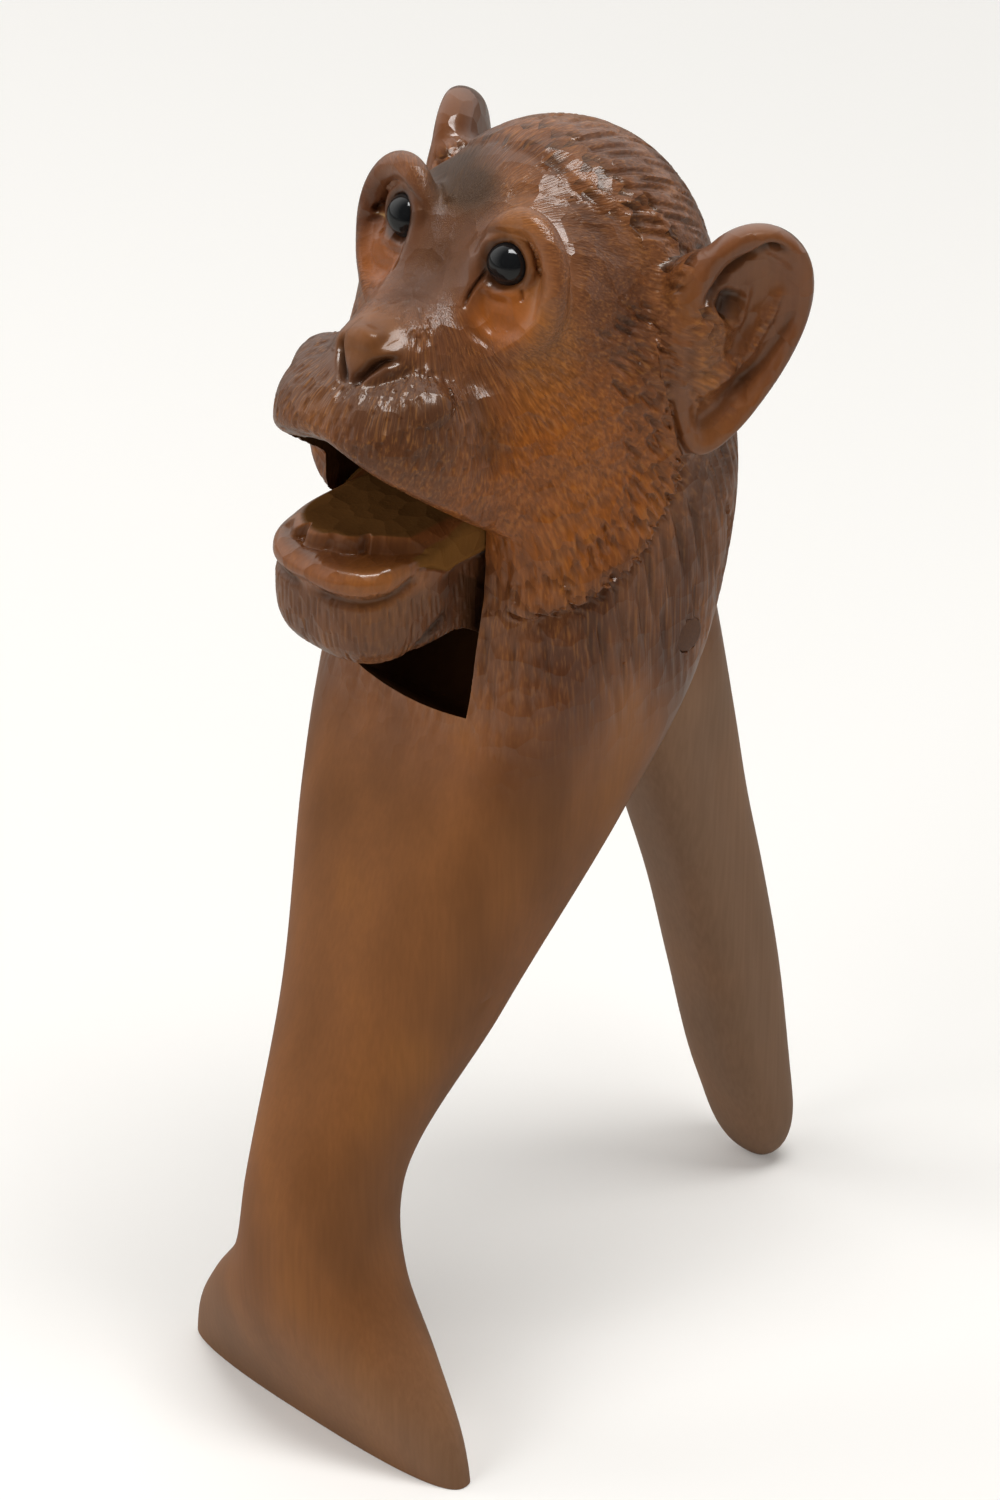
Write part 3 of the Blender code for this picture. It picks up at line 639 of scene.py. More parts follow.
# %% Faces, folds and ears
round_ring = [
    ring_centre
    + ring_axes @ ((ring_half_width + 2.7) * math.cos(turn), 0.5, (ring_half_height + 2.7) * math.sin(turn))
    for turn in np.radians((-100, -75, -50, -25, 0, 25, 50))
]
strokes = [
    # what it is, width, depth, sides, sharp, and the places of its path
    ("lower lid", 1.0, -0.6, "both", False,
     [(7.0, 27.0, 190.2), (8.4, 27.0, 189.0), (11.0, 27.4, 188.9), (13.8, 28.2, 189.9)]),
    ("under the lid", 0.6, 0.35, "both", False,
     [(7.2, 26.6, 188.4), (9.4, 26.9, 187.9), (12.4, 27.4, 188.2)]),
    ("tear line", 0.55, 1.0, "both", True,
     [(7.6, 27.9, 192.2), (6.9, 27.4, 190.2), (6.0, 26.9, 188.6), (4.9, 26.3, 186.3),
      (4.6, 25.8, 184.2)]),
    ("lid corner", 0.45, 0.5, "both", True,
     [(13.4, 28.4, 190.5), (13.9, 28.3, 189.5), (13.9, 28.1, 188.4)]),
    ("upper lid crease", 0.8, 0.45, "both", False,
     [(4.4, 27.4, 191.5), (4.5, 27.9, 193.8), (5.3, 28.4, 195.7), (7.1, 28.9, 196.8), (9.7, 29.4, 197.3),
      (11.4, 29.6, 197.0)]),
    ("bag crease", 0.9, 0.5, "both", False,
     [(4.7, 25.5, 183.7), (6.4, 25.4, 182.2), (9.0, 25.5, 181.0), (11.8, 25.8, 180.5)]),
    ("round the ring", 1.4, 0.3, "both", False, round_ring),
    ("cheek valley", 3.2, 0.8, "both", False,
     [(9.0, 21.0, 183.0), (14.0, 19.5, 176.0), (16.0, 20.0, 169.0), (16.5, 22.0, 163.0)]),
    ("far slit", 0.9, 1.3, "one", True,
     [(-12.8, 29.6, 194.8), (-15.2, 29.6, 193.1), (-16.5, 29.5, 191.9), (-17.8, 29.4, 190.5)]),
    ("far nick", 0.7, 0.5, "one", True,
     [(-15.0, 29.2, 191.5), (-16.2, 29.2, 190.6), (-17.4, 29.1, 189.7), (-18.6, 29.1, 188.9)]),
    ("nostril", 0.7, 1.7, "one", False,
     [(1.6, 5.8, 178.6), (2.5, 6.6, 180.2), (3.8, 8.2, 181.9), (5.2, 9.8, 182.8), (7.0, 12.0, 182.8)]),
    ("far nostril", 0.6, 1.5, "one", False,
     [(1.2, 5.8, 178.8), (-0.6, 6.6, 180.6), (-2.6, 8.2, 182.4), (-3.8, 10.2, 184.2)]),
    ("nostril floor", 0.8, 0.5, "one", False,
     [(3.2, 6.0, 178.9), (5.4, 8.0, 180.0), (7.4, 10.8, 181.0), (8.4, 14.0, 182.8)]),
    ("nose top", 1.4, -0.35, "one", False,
     [(-1.4, 9.8, 185.9), (1.2, 9.6, 186.0), (4.2, 10.6, 185.2)]),
    ("far brow ridge", 1.0, -0.7, "one", False,
     [(-8.9, 34.4, 197.4), (-4.9, 31.8, 197.8), (-3.3, 31.3, 197)]),
    ("ear groove", 0.8, 1.2, "ears", False,
     [(26.4, 52.0, 182.0), (27.0, 53.0, 184.5), (28.2, 55.1, 188.5), (29.4, 59.3, 190.3),
      (30.6, 61.2, 190.8), (31.7, 63.1, 190.0), (32.3, 64.2, 188.5)]),
    ("ear fold", 1.6, -1.5, "ears", False,
     [(31.2, 62.3, 187.4), (31.6, 63.0, 184.6), (31.3, 62.4, 182.0), (30.6, 61.2, 179.5),
      (29.6, 59.5, 175.7), (28.6, 57.8, 173.8), (27.4, 55.7, 171.7), (26.2, 53.6, 169.4),
      (24.9, 51.5, 167.3)]),
    ("ear hollow", 2.2, 1.8, "ears", False,
     [(28.0, 57.2, 185.4), (27.4, 56.4, 182.4), (27.0, 55.6, 180.2)]),
    ("hollow edge", 0.7, -0.7, "ears", False,
     [(28.9, 59.3, 186.9), (28.7, 58.9, 184.0), (28.4, 58.5, 181.6), (28.0, 57.6, 179.2),
      (26.6, 55.4, 178.4)]),
    ("ear channel", 1.2, 0.7, "ears", False,
     [(33.0, 64.4, 183.4), (32.2, 63.2, 178.6), (30.9, 60.6, 174.4), (29.2, 57.6, 170.6),
      (27.4, 54.4, 166.8)]),
    ("lobe band", 1.6, -0.7, "ears", False,
     [(29.6, 57.6, 168.1), (28.9, 56.3, 166.1), (27.7, 54.2, 164.0), (26.6, 52.3, 162.1)]),
]
points, normals = read_points(block), read_normals(block)
for _, width, depth, sides, sharp, path in strokes:
    carve(points, normals, onto_surface(path, block_distance), width, depth, sides, sharp)
write_points(block, points)
print("strokes:", [stroke[0] for stroke in strokes])

# %% [markdown]
# ## Fur
#
# The fur was cut with small gouges, one hair lock after another: long swept furrows on the crown
# and nape, curved strokes along the ruff under the cheek, stipples on the muzzle. The skin behind
# the line of the ruff stands lower than the skin before it, so the ruff has an edge.
#
# Each lock is a path that follows the way the hair grows, from between the eyes outwards and then
# down the neck. Paths start at seeded random places, walk over the surface, and one that runs too
# close to another is dropped, so that a ridge is left between any two. Then they are cut all at
# once: each corner looks for its nearest path and is pushed in by the hollow of a gouge. Hair
# finer than this and the short chips of the hairline are left to the material.

# %% Fur tools
chance = np.random.default_rng(7)
hair_root = np.array((0.0, 22.0, 196.0))


def hair_direction(points):
    """The way the hair grows: away from between the eyes, and down on the neck."""
    away = points - hair_root
    away /= np.linalg.norm(away, axis=1, keepdims=True)
    down = np.array((0.0, 0.12, -1.0))
    share = smooth_step(-points[:, 2], -162, -142)[:, None]
    return away * (1 - share) + down * share


def walk(starts, distance, direction, step, count):
    """Paths that start at these places and follow a direction over the surface."""
    places, headings = [], []
    here = starts
    for _ in range(count):
        slope, gap = slopes_of(distance, here)
        normal = slope / np.maximum(np.linalg.norm(slope, axis=1, keepdims=True), 1e-6)
        here = here - gap[:, None] * normal
        heading = direction(here)
        heading = heading - (heading * normal).sum(axis=1)[:, None] * normal
        heading /= np.maximum(np.linalg.norm(heading, axis=1, keepdims=True), 1e-6)
        places.append(here)
        headings.append(heading)
        here = here + heading * step
    return np.stack(places, axis=1), np.stack(headings, axis=1)


def spread_out(paths, apart):
    """The numbers of the paths that keep this far from all that were chosen before them."""
    chosen = [0]
    taken = paths[0]
    middle = paths.shape[1] // 2
    for index in range(1, len(paths)):
        ends = paths[index][[0, middle, -1]]
        gaps = np.sqrt(((taken[None] - ends[:, None]) ** 2).sum(axis=2)).min(axis=1)
        if gaps[1] > apart and min(gaps[0], gaps[2]) > 0.6 * apart:
            chosen.append(index)
            taken = np.concatenate([taken, paths[index]])
    return np.array(chosen)


def cut_locks(points, normals, paths, headings, width, depth, allowed, start=0.2, end=0.45):
    """Cuts a gouge hollow along each path, ramped over these shares of its length."""
    number, length = paths.shape[:2]
    flat = paths.reshape(-1, 3)
    tree = kdtree.KDTree(len(flat))
    for index, place in enumerate(flat):
        tree.insert(place, index)
    tree.balance()
    corners = np.flatnonzero(allowed > 0.02)
    nearest = np.array([tree.find(points[corner])[1] for corner in corners])
    gap = points[corners] - flat[nearest]
    gap -= (gap * normals[corners]).sum(axis=1)[:, None] * normals[corners]
    forward = (gap * headings.reshape(-1, 3)[nearest]).sum(axis=1)
    aside = np.sqrt(np.maximum((gap**2).sum(axis=1) - forward**2, 0))
    share = (nearest % length + np.clip(forward, -0.5, 0.5)) / (length - 1)
    shape = np.clip(1 - (aside / width) ** 2, 0, 1) * (np.abs(forward) < 1.2)
    ramps = smooth_step(share, -0.05, start) * smooth_step(1 - share, -0.05, end)
    deeper = chance.uniform(0.6, 1.25, number)[nearest // length]
    points[corners] -= normals[corners] * (depth * deeper * shape * ramps * allowed[corners])[:, None]


def comb(points, normals, distance, direction, share_cut, kinds):
    """Cuts each kind of hair from seeded random starts, more of them where more is allowed."""
    for kind, allowed, tries, step, steps, apart, depth in kinds:
        weights = allowed + 1e-9
        starts = points[chance.choice(len(points), tries, p=weights / weights.sum())]
        paths, headings = walk(starts, distance, direction, step, steps)
        chosen = spread_out(paths, apart)
        width = share_cut * apart
        cut_locks(points, normals, paths[chosen], headings[chosen], width, depth, allowed)
        print(kind, len(chosen))


# %% Where fur grows
def ahead_of(points, path):
    """How far each point lies ahead of a line that is drawn on the side of the head."""
    path = smooth_path(path)[:, 1:]
    gaps = np.full(len(points), 1e3)
    for start, end in zip(path, path[1:]):
        run = end - start
        offset = points[:, 1:] - start
        part = np.clip(offset @ run / (run @ run), 0, 1)
        gap = np.linalg.norm(offset - part[:, None] * run, axis=1)
        sign = np.where(run[0] * offset[:, 1] - run[1] * offset[:, 0] < 0, 1, -1)
        gaps = np.where(gap < np.abs(gaps), gap * sign, gaps)
    return gaps


ruff_line = [
    (25, 46.0, 190.0),
    (26, 46.6, 178.0),
    (26, 48.0, 169.0),
    (25, 49.7, 161.8),
    (25, 48.3, 155.6),
    (25, 44.1, 151.1),
    (25, 40.0, 147.1),
    (24, 34.4, 144.0),
    (22, 28.3, 141.0),
    (18, 22.0, 139.0),
]
hairline_rows = [
    # how far to the side, and how far back
    (0.0, 42.4),
    (7.6, 42.6),
    (11.1, 43.2),
    (14.1, 44.6),
    (17.6, 48.6),
    (22.0, 49.0),
    (30.0, 49.0),
]


def behind_hairline(points):
    """How far each point lies behind the line where the smooth forehead ends."""
    return points[:, 1] - np.interp(np.abs(points[:, 0]), *np.transpose(hairline_rows))


points, normals = read_points(block), read_normals(block)
mirrored = folded(points)
height = points[:, 2]
eye_gap = np.linalg.norm((mirrored - (12.0, 27.5, 190.6)) / (1.0, 1.4, 1.25), axis=1)
nose_gap = np.linalg.norm((mirrored - (0, 10.0, 183.5)) / (1.25, 1.0, 1.0), axis=1)
bare = np.maximum(1 - smooth_step(eye_gap, 8.5, 10.5), 1 - smooth_step(nose_gap, 5.0, 7.0))
bare = np.maximum(bare, 1 - smooth_step(ear_distance(mirrored), 0.4, 2.2))
fur = (1 - bare) * (np.abs(block_distance(points)) < 1.6)
high = smooth_step(height, 182, 188)
back_of_line = behind_hairline(points)
crown = smooth_step(back_of_line, 3.0, 6.0) * smooth_step(height, 160, 174)
before_ruff = ahead_of(mirrored, ruff_line)
cheek = smooth_step(before_ruff, -0.5, 1.0) * (1 - high) * smooth_step(height, 138, 146)
nape = smooth_step(-before_ruff, 0.0, 1.0) * smooth_step(height, 112, 136) * (1 - crown)
muzzle = smooth_step(-mirrored[:, 1], -24, -16) * smooth_step(height, 160, 166)
ruff = cheek * smooth_step(-before_ruff, -13, -8) * smooth_step(mirrored[:, 0], 12, 18)

# %% Cut the fur
lock_wave = 2.4 * (points[:, 1] + height)
ragged = before_ruff + 0.45 * np.sin(lock_wave) + 0.3 * np.sin(1.7 * lock_wave + 1)
edged = (1 - smooth_step(height, 176, 184)) * smooth_step(height, 137, 142)
edged *= smooth_step(mirrored[:, 0], 14, 18) * (1 - bare)
ridge = smooth_step(ragged, -0.5, 0.6) * np.exp(-((before_ruff / 6) ** 2)) * edged
below_crown = 0.3 * (1 - smooth_step(back_of_line, -0.5, 1.5)) * high * smooth_step(eye_gap, 9, 12)
under_ruff = np.exp(-((ragged + 1.2) ** 2)) * edged
points += normals * (1.7 * ridge - 0.5 * under_ruff - below_crown)[:, None]
write_points(block, points)
points, normals = read_points(block), read_normals(block)

fur_kinds = [
    # what, where, tries, step, steps, apart, depth
    ("crown locks", crown * fur, 3600, 0.8, 17, 1.1, 0.5),
    ("ruff locks", ruff * fur, 2600, 0.7, 9, 1.15, 0.6),
    ("cheek locks", cheek * (1 - muzzle) * (1 - ruff) * fur, 3000, 0.7, 8, 1.0, 0.2),
    ("nape locks", nape * fur, 3000, 1.0, 17, 1.4, 0.5),
    ("muzzle stipples", muzzle * (1 - crown) * fur, 2200, 0.6, 6, 0.95, 0.2),
    ("forehead lines", high * (1 - crown) * fur, 500, 0.8, 9, 1.5, 0.08),
]
comb(points, normals, block_distance, hair_direction, 0.55, fur_kinds)
write_points(block, points)

# %% [markdown]
# ## Sawing the slot and drilling the holes
#
# The slot for the lever is sawn after the carving, so its edges are crisp, and so are the holes
# for the dowel and the glass eyes. A Boolean with a plain cutter does this. The carved skin is
# first thinned with Decimate, which keeps its points where the carving is.

# %% Cutters
def thin(made, triangles):
    """Thins the skin to about this many triangles."""
    one_object(made)
    modifier = made.modifiers.new("Thin", "DECIMATE")
    modifier.ratio = min(1, triangles / (2 * len(made.data.polygons)))
    modifier.use_collapse_triangulate = True
    bpy.ops.object.modifier_apply(modifier=modifier.name)


def cut_away(made, cutter):
    """Cuts one object with another, and removes the cutter."""
    one_object(made)
    modifier = made.modifiers.new("Cut", "BOOLEAN")
    modifier.operation = "DIFFERENCE"
    modifier.solver = "MANIFOLD"
    modifier.object = cutter
    bpy.ops.object.modifier_apply(modifier=modifier.name)
    bpy.data.objects.remove(cutter)


def add_rod(radius, length):
    """A rod across the neck, on the axis of the pivot."""
    bpy.ops.mesh.primitive_cylinder_add(
        vertices=64,
        radius=radius * mm,
        depth=length * mm,
        location=pivot * mm,
        rotation=(0, math.pi / 2, 0),
    )
    bpy.ops.object.transform_apply()
    return bpy.context.object


def add_eye(side, radius, rings):
    """A ball where one eye sits."""
    bpy.ops.mesh.primitive_uv_sphere_add(
        segments=64, ring_count=rings, radius=radius * mm, location=eye_centre * (side, 1, 1) * mm
    )
    bpy.ops.object.transform_apply()
    return bpy.context.object


def shade(made):
    """Shades the skin as smooth, but for its sawn edges."""
    one_object(made)
    bpy.ops.object.shade_smooth_by_angle(angle=math.radians(42))


def side_cutter(outline, half_width):
    """A flat outline, seen from the side in millimetres, drawn out to both sides."""
    bpy.ops.mesh.primitive_circle_add(vertices=len(outline), fill_type="NGON")
    cutter = bpy.context.object
    for vertex, (y, z) in zip(cutter.data.vertices, outline):
        vertex.co = Vector((-half_width, y, z)) * mm
    bpy.ops.object.mode_set(mode="EDIT")
    bpy.ops.mesh.extrude_region_move(TRANSFORM_OT_translate={"value": (2 * half_width * mm, 0, 0)})
    bpy.ops.mesh.select_all(action="SELECT")
    bpy.ops.mesh.normals_make_consistent(inside=False)
    bpy.ops.object.mode_set(mode="OBJECT")
    return cutter


slot_outline = [
    # back and height of each corner: floor, way out under the nape, stop, palate, lip
    (-10.0, 144.75),
    (17.8, 123.2),
    (56.5, 93.2),
    (96.7, 62.04),
    (96.7, 107.06),
    (44.0, 159.76),
    (4.95, 170.87),
    (4.95, 155.6),
    (-10.0, 155.6),
]
slot_half_width = 12.0
pivot = np.array((0, 51.5, 128.5))
bore_radius, bore_length = 2.75, 80
bead_room, filed_depth = 0.04, 1.6
thin(block, triangles=185000)
slot_cutter = side_cutter(slot_outline, slot_half_width)
bpy.ops.object.mode_set(mode="EDIT")
for across in np.linspace(-10, 10, 9):
    bpy.ops.mesh.select_all(action="SELECT")
    bpy.ops.mesh.bisect(plane_co=(across * mm, 0, 0), plane_no=(1, 0, 0))
bpy.ops.object.mode_set(mode="OBJECT")
points = read_points(slot_cutter)
filed = (points[:, 1] < 18) & (points[:, 2] < 146)
points[filed, 2] -= filed_depth * (1 - (points[filed, 0] / slot_half_width) ** 2)
write_points(slot_cutter, points)
cut_away(block, slot_cutter)
beyond, beside = 80, 60
under_sole = [(-beyond, 0), (beyond, 0), (beyond, -beyond), (-beyond, -beyond)]
cut_away(block, side_cutter(under_sole, beside))
cut_away(block, add_rod(bore_radius, bore_length))
for side in (1, -1):
    cut_away(block, add_eye(side, eye_radius + bead_room, 32))
shade(block)
print(block.name, "has", len(block.data.polygons), "triangles")

# %% [markdown]
# ## The lever
#
# Jaw, arm and rear handle are one piece of wood. The jaw is a squared block with a rolled lower
# lip, sawn flat on top, and the handle is a slim bar that flattens towards its rounded end. It
# is blocked in and drawn to its form in the same way as the head.

# %% Form of the lever
handle_rows = [
    # height, centre, half width, half depth, squareness
    (0.0, 96.67, 7.61, 4.55, 2.4),
    (10.28, 95.08, 7.78, 5.46, 2.5),
    (21.2, 92.41, 7.94, 6.55, 2.8),
    (43.05, 87.74, 8.1, 7.83, 3.0),
    (61.68, 83.13, 8.1, 8.37, 3.0),
    (77.1, 78.56, 8.26, 9.1, 3.0),
    (93.8, 73.9, 9.07, 9.92, 3.0),
    (118.22, 67.07, 10.94, 10.19, 3.0),
    (141.35, 60.47, 11.66, 10.92, 2.6),
]
lever_half_width = 11.7
jaw_top = 155.6
tooth_angles = (-44, -27, -15, 3, 21)
jaw_edge = [
    # angle about a point under the palate, from the front towards the left, and distance from it
    (-90, 12.4),
    (-62, 12.8),
    (-36, 17.2),
    (-22, 17.0),
    (-7, 16.0),
    (9, 14.3),
    (29, 12.0),
    (56, 11.5),
    (77, 11.8),
    (90, 12.4),
]
jaw_middle, jaw_radii = np.array((0, 13.1, 145.6)), np.array((11.934, 14.5, 11.2))
lip_middle, lip_radii = np.array((0, 12.81, 150.9)), np.array((12.2, 15.08, 2.6))
palate_back, tooth_step = 18.0, 2.6
arm_start = np.array((0, 23.25, 146.0))
arm_half_depth, arm_deeper_at_pivot, heel_reach = 9.2, 3.8, 16.5


def heel_distance(points):
    """Distance above the heel, a flat that meets the stop and turns round about the pivot."""
    back_and_up = (points - pivot)[:, 1:]
    above = back_and_up @ np.array((1, 1)) / math.sqrt(2)
    forward = back_and_up @ np.array((-1, 1)) / math.sqrt(2)
    return np.where(forward > 0, np.hypot(above, forward), above) - heel_reach


def arm_distance(points):
    """Distance, seen from the side, from the bar between jaw and pivot."""
    run = (pivot - arm_start)[1:]
    part = np.clip((points[:, 1:] - arm_start[1:]) @ run / (run @ run), 0, 1)
    nearest = arm_start[1:] + part[:, None] * run
    half_depth = arm_half_depth + arm_deeper_at_pivot * part
    return np.linalg.norm(points[:, 1:] - nearest, axis=1) - half_depth


def beyond_teeth(points):
    """How far each point lies outside the scalloped edge of the flat top of the jaw."""
    forward = palate_back - points[:, 1]
    angle = np.degrees(np.arctan2(points[:, 0], forward))
    beyond = np.hypot(points[:, 0], forward) - np.interp(angle, *np.transpose(jaw_edge))
    for index, place in enumerate(tooth_angles):
        depth, width = 0.5 + 0.45 * (index % 3), 2.6 + 1.5 * (index % 2)
        beyond = beyond + depth * np.exp(-(((angle - place) / width) ** 2))
    return np.where(forward > 0, beyond, -1)


def lever_distance(points):
    """Distance from the lever before its bore is cut."""
    top = jaw_top - tooth_step * smooth_step(beyond_teeth(points), -0.15, 1.1)
    narrower = 1.5 * smooth_step(points[:, 1], 13, 19) * smooth_step(-points[:, 2], -150, -147)
    points = folded(points)
    handle = loft_distance(points, handle_rows, 14.0)
    handle = hollowed(handle, -heel_distance(points), 1.65)
    solid = joined(arm_distance(points), handle, 3.64)
    jaw = ball_distance(points, jaw_middle, jaw_radii, 3.2)
    solid = joined(solid, jaw, 2.0)
    lip = ball_distance(points, lip_middle, lip_radii, 2.7)
    solid = joined(solid, lip, 1.0)
    solid = hollowed(solid, top - points[:, 2], 0.5)
    return hollowed(solid, lever_half_width - 1.2 * narrower - points[:, 0], 0.6)


# %% Block in the lever
pieces = [add_stem(handle_rows, np.linspace(0.5, 140, 36), dome=14.0)]
pieces += add_mass(jaw_middle, (14.0, 17.0, 13.0))
for part in np.linspace(0, 1, 9):
    pieces += add_mass(arm_start + (pivot - arm_start) * part, (14.0, 10 + 3 * part, 10 + 3 * part))
lever = melt(pieces, "carved_jaw_and_handle", coarse_square)
draw_onto(lever, lever_distance, 3, 3)
for _ in range(2):
    points = read_points(lever)
    subdivide_where(lever, (points[:, 2] > 130) & (points[:, 1] < 26))
    draw_onto(lever, lever_distance, 1, 2)
print(lever.name, "blocked in with", len(lever.data.polygons), "faces")

# %% Lip and chin
lever_strokes = [
    # what it is, width, depth, sharp, and the places of its path
    ("under the lip", 0.9, 0.7, False,
     [(0, -1.6, 148.2), (6, -0.9, 148.2), (9.8, 1.4, 148.3), (11.6, 5.6, 148.9), (11.9, 9.7, 150.6)]),
    ("edge of the sawn side", 0.5, 0.4, True,
     [(11.8, 9.0, 151.6), (11.8, 12.0, 150.8), (11.8, 15.7, 148.5), (11.8, 22.3, 144.0)]),
    ("under the chin", 1.1, 0.9, False,
     [(0, 9.0, 134.4), (7.5, 9.5, 135.0), (11.0, 11.5, 138.6), (11.9, 15.7, 141), (11.9, 21, 139.6)]),
    ("deep chin line", 0.5, 0.5, True, [(-8.6, -0.6, 146.6), (-9.4, -0.2, 142.5), (-8.8, 0.6, 139.0)]),
]
points, normals = read_points(lever), read_normals(lever)
for _, width, depth, sharp, path in lever_strokes:
    sides = "one" if path[0][0] < 0 else "both"
    carve(points, normals, path, width, depth, sides, sharp, taper=0.15)
write_points(lever, points)

points, normals = read_points(lever), read_normals(lever)
chin = smooth_step(-points[:, 1], -24, -20) * smooth_step(-points[:, 2], -149, -147)
lip_edge = np.exp(-(((points[:, 2] - 149.4) / 0.7) ** 2)) * smooth_step(-points[:, 1], -11, -8)
lever_hair = [
    # what, where, tries, step, steps, apart, depth
    ("chin hairs", chin, 3000, 0.6, 8, 0.75, 0.14),
    ("lip hatching", lip_edge, 900, 0.4, 4, 0.6, 0.14),
]
comb(points, normals, lever_distance, lambda here: here * 0 + (0, 0.1, -1.0), 0.5, lever_hair)
write_points(lever, points)
thin(lever, triangles=110000)
cut_away(lever, add_rod(bore_radius, bore_length))
shade(lever)
print(lever.name, "has", len(lever.data.polygons), "triangles")

# %% [markdown]
# ## Beads and dowel
#
# The eyes are black glass beads, and the dowel is a short rod of the same wood, cut off flush
# with the neck. A fine sphere and a bevelled cylinder are all they need.

# %% Beads and dowel
beads = []
for side, label in ((1, "left"), (-1, "right")):
    bead = add_eye(side, eye_radius, 40)
    bead.name = "glass_bead_" + label
    bpy.ops.object.shade_smooth()
    beads.append(bead)
dowel_radius, dowel_length = 2.72, 51.2
dowel = add_rod(dowel_radius, dowel_length)
dowel.name = "turned_dowel"
rounding = dowel.modifiers.new("Worn rim", "BEVEL")
rounding.width = 0.35 * mm
rounding.segments = 3
bpy.ops.object.modifier_apply(modifier=rounding.name)
shade(dowel)
print([bead.name for bead in beads], dowel.name)

# %% [markdown]
# ## Masks for the stain and the painted light
#
# Each corner of the skin keeps how deep it lies under the smooth form, which makes it darker,
# how warm, shaded or sooty the stain looks there, how much grey sheen is painted on the foot and
# the handles, and how much varnish and fur it has. The dark round the beads and in the mouth and
# slot is painted shade. What was sawn is kept for each face, because a wall cut by a Boolean
# shares its corners with the skin. The material reads these numbers as attributes.

# %% Attributes
def keep(made, name, values):
    """Keeps one number for each corner or face of a mesh, for its material to read."""
    domain = "POINT" if len(values) == len(made.data.vertices) else "FACE"
    found = made.data.attributes.new(name, "FLOAT", domain)
    found.data.foreach_set("value", np.asarray(values, np.float32))


def near_to(points, place, stretch, full, none):
    """1 within one distance of a place, 0 beyond another."""
    gap = np.linalg.norm((points - np.array(place)) / stretch, axis=1)
    return 1 - smooth_step(gap, full, none)


spots = [
    # what, mask, how strong, sides, place, stretch, all of it within, none of it beyond
    # painted shade in the gap between bead and lid
    ("hollow round the bead", "hollow", 0.75, "both", eye_centre, (1, 1, 1), 3.8, 5.2),
    ("warm socket", "warm", 0.8, "both", (12.0, 27.0, 186.0), (1, 1, 0.8), 3, 8),
    ("warm cheek", "warm", 0.9, "both", (18, 33, 161), (1.0, 1.2, 1.15), 8, 20),
    ("warm side of the lip", "warm", 0.8, "both", (13, 17, 163), (1.0, 1.2, 0.8), 3, 8),
    ("warm leg", "warm", 0.6, "one", (14, 24, 84), (1.0, 1.0, 2.4), 3, 14),
    ("soot on the brow", "soot", 1.0, "one", (-3.6, 34.8, 198.2), (1.3, 1.0, 0.8), 2.5, 6.5),
    ("soot over the far eye", "soot", 1.0, "one", (-9, 38.0, 197.5), (1.5, 1, 1), 2, 7),
    ("pale wood in the far slit", "pale", 1.0, "one", (-15.8, 29.0, 191.0), (1.4, 1.0, 0.5), 0.4, 0.9),
    ("shade on the muzzle", "shaded", 0.8, "both", (6, 9, 176), (1.5, 1, 1.0), 5, 12),
    ("shade between the eyes", "shaded", 0.6, "both", (2, 26, 194), (1, 1.5, 1), 4, 12),
    ("dull top of the nose", "dull", 0.65, "one", (0, 10.5, 185.5), (1.2, 1, 1), 3, 7),
]
points = read_points(block)
mirrored = folded(points)
spotted = {}
for _, mask, most, sides, place, stretch, full, none in spots:
    seen = mirrored if sides == "both" else points
    spot = most * near_to(seen, place, stretch, full, none)
    spotted[mask] = np.maximum(spotted.get(mask, 0), spot)
depth = -block_distance(points)
# Darker where the skin lies deeper under the smooth form, and painted shade round the beads.
keep(block, "hollow", np.maximum(spotted["hollow"], np.clip((depth - 0.1) / 1.1, 0, 1)))
middles = np.array([face.center for face in block.data.polygons]) / mm
sawn = (np.abs(middles[:, 0]) < slot_half_width + 0.1) * (block_distance(middles) < -1.3)
sawn *= (middles[:, 1] > 14.4) | (middles[:, 2] < 145)
keep(block, "sawn", sawn)
# Painted shade: the sawn walls of the slot are darkened.
keep(block, "throat", 0.8 * sawn)
keep(block, "soot", spotted["soot"])
keep(block, "pale", spotted["pale"])
on_ear = 1 - smooth_step(ear_distance(mirrored), 0.2, 1.6)
by_eye = near_to(mirrored, (12.0, 28.0, 191.5), (1.0, 1.4, 1.15), 6.5, 9.0)
by_nose = near_to(mirrored, (0, 10.0, 183.5), (1.25, 1.0, 1.0), 4.5, 6.5)
furry = 1 - np.maximum(np.maximum(on_ear, 0.8 * by_eye), by_nose)
keep(block, "fur", furry * smooth_step(points[:, 2], 112, 140))
keep(block, "warm", np.maximum(spotted["warm"], 0.15 * on_ear))
dull = np.maximum(0.9 * spotted["soot"], spotted["dull"])
keep(block, "varnish", smooth_step(points[:, 2], 104, 130) * (1 - dull))
keep(block, "shaded", np.maximum(spotted["shaded"], 0.35 * on_ear))
# Painted sheen: the foot is greyed where its satin would catch the light.
keep(block, "grey_sheen", 0.7 * smooth_step(-points[:, 2], -32, -6))
back_of_line = behind_hairline(points)
band = smooth_step(back_of_line, -1.4, 0.2) * smooth_step(-back_of_line, -9.0, -5.5)
keep(block, "hairline", band * smooth_step(points[:, 2], 176, 184) * (1 - on_ear))
in_ruff = ahead_of(mirrored, ruff_line)
combed = smooth_step(in_ruff, -0.6, 0.4) * (0.45 + 0.55 * smooth_step(-in_ruff, -12, -5))
combed *= (1 - smooth_step(points[:, 2], 180, 188)) * smooth_step(points[:, 2], 136, 142)
keep(block, "ruff", combed * furry * smooth_step(mirrored[:, 1], 14, 22))

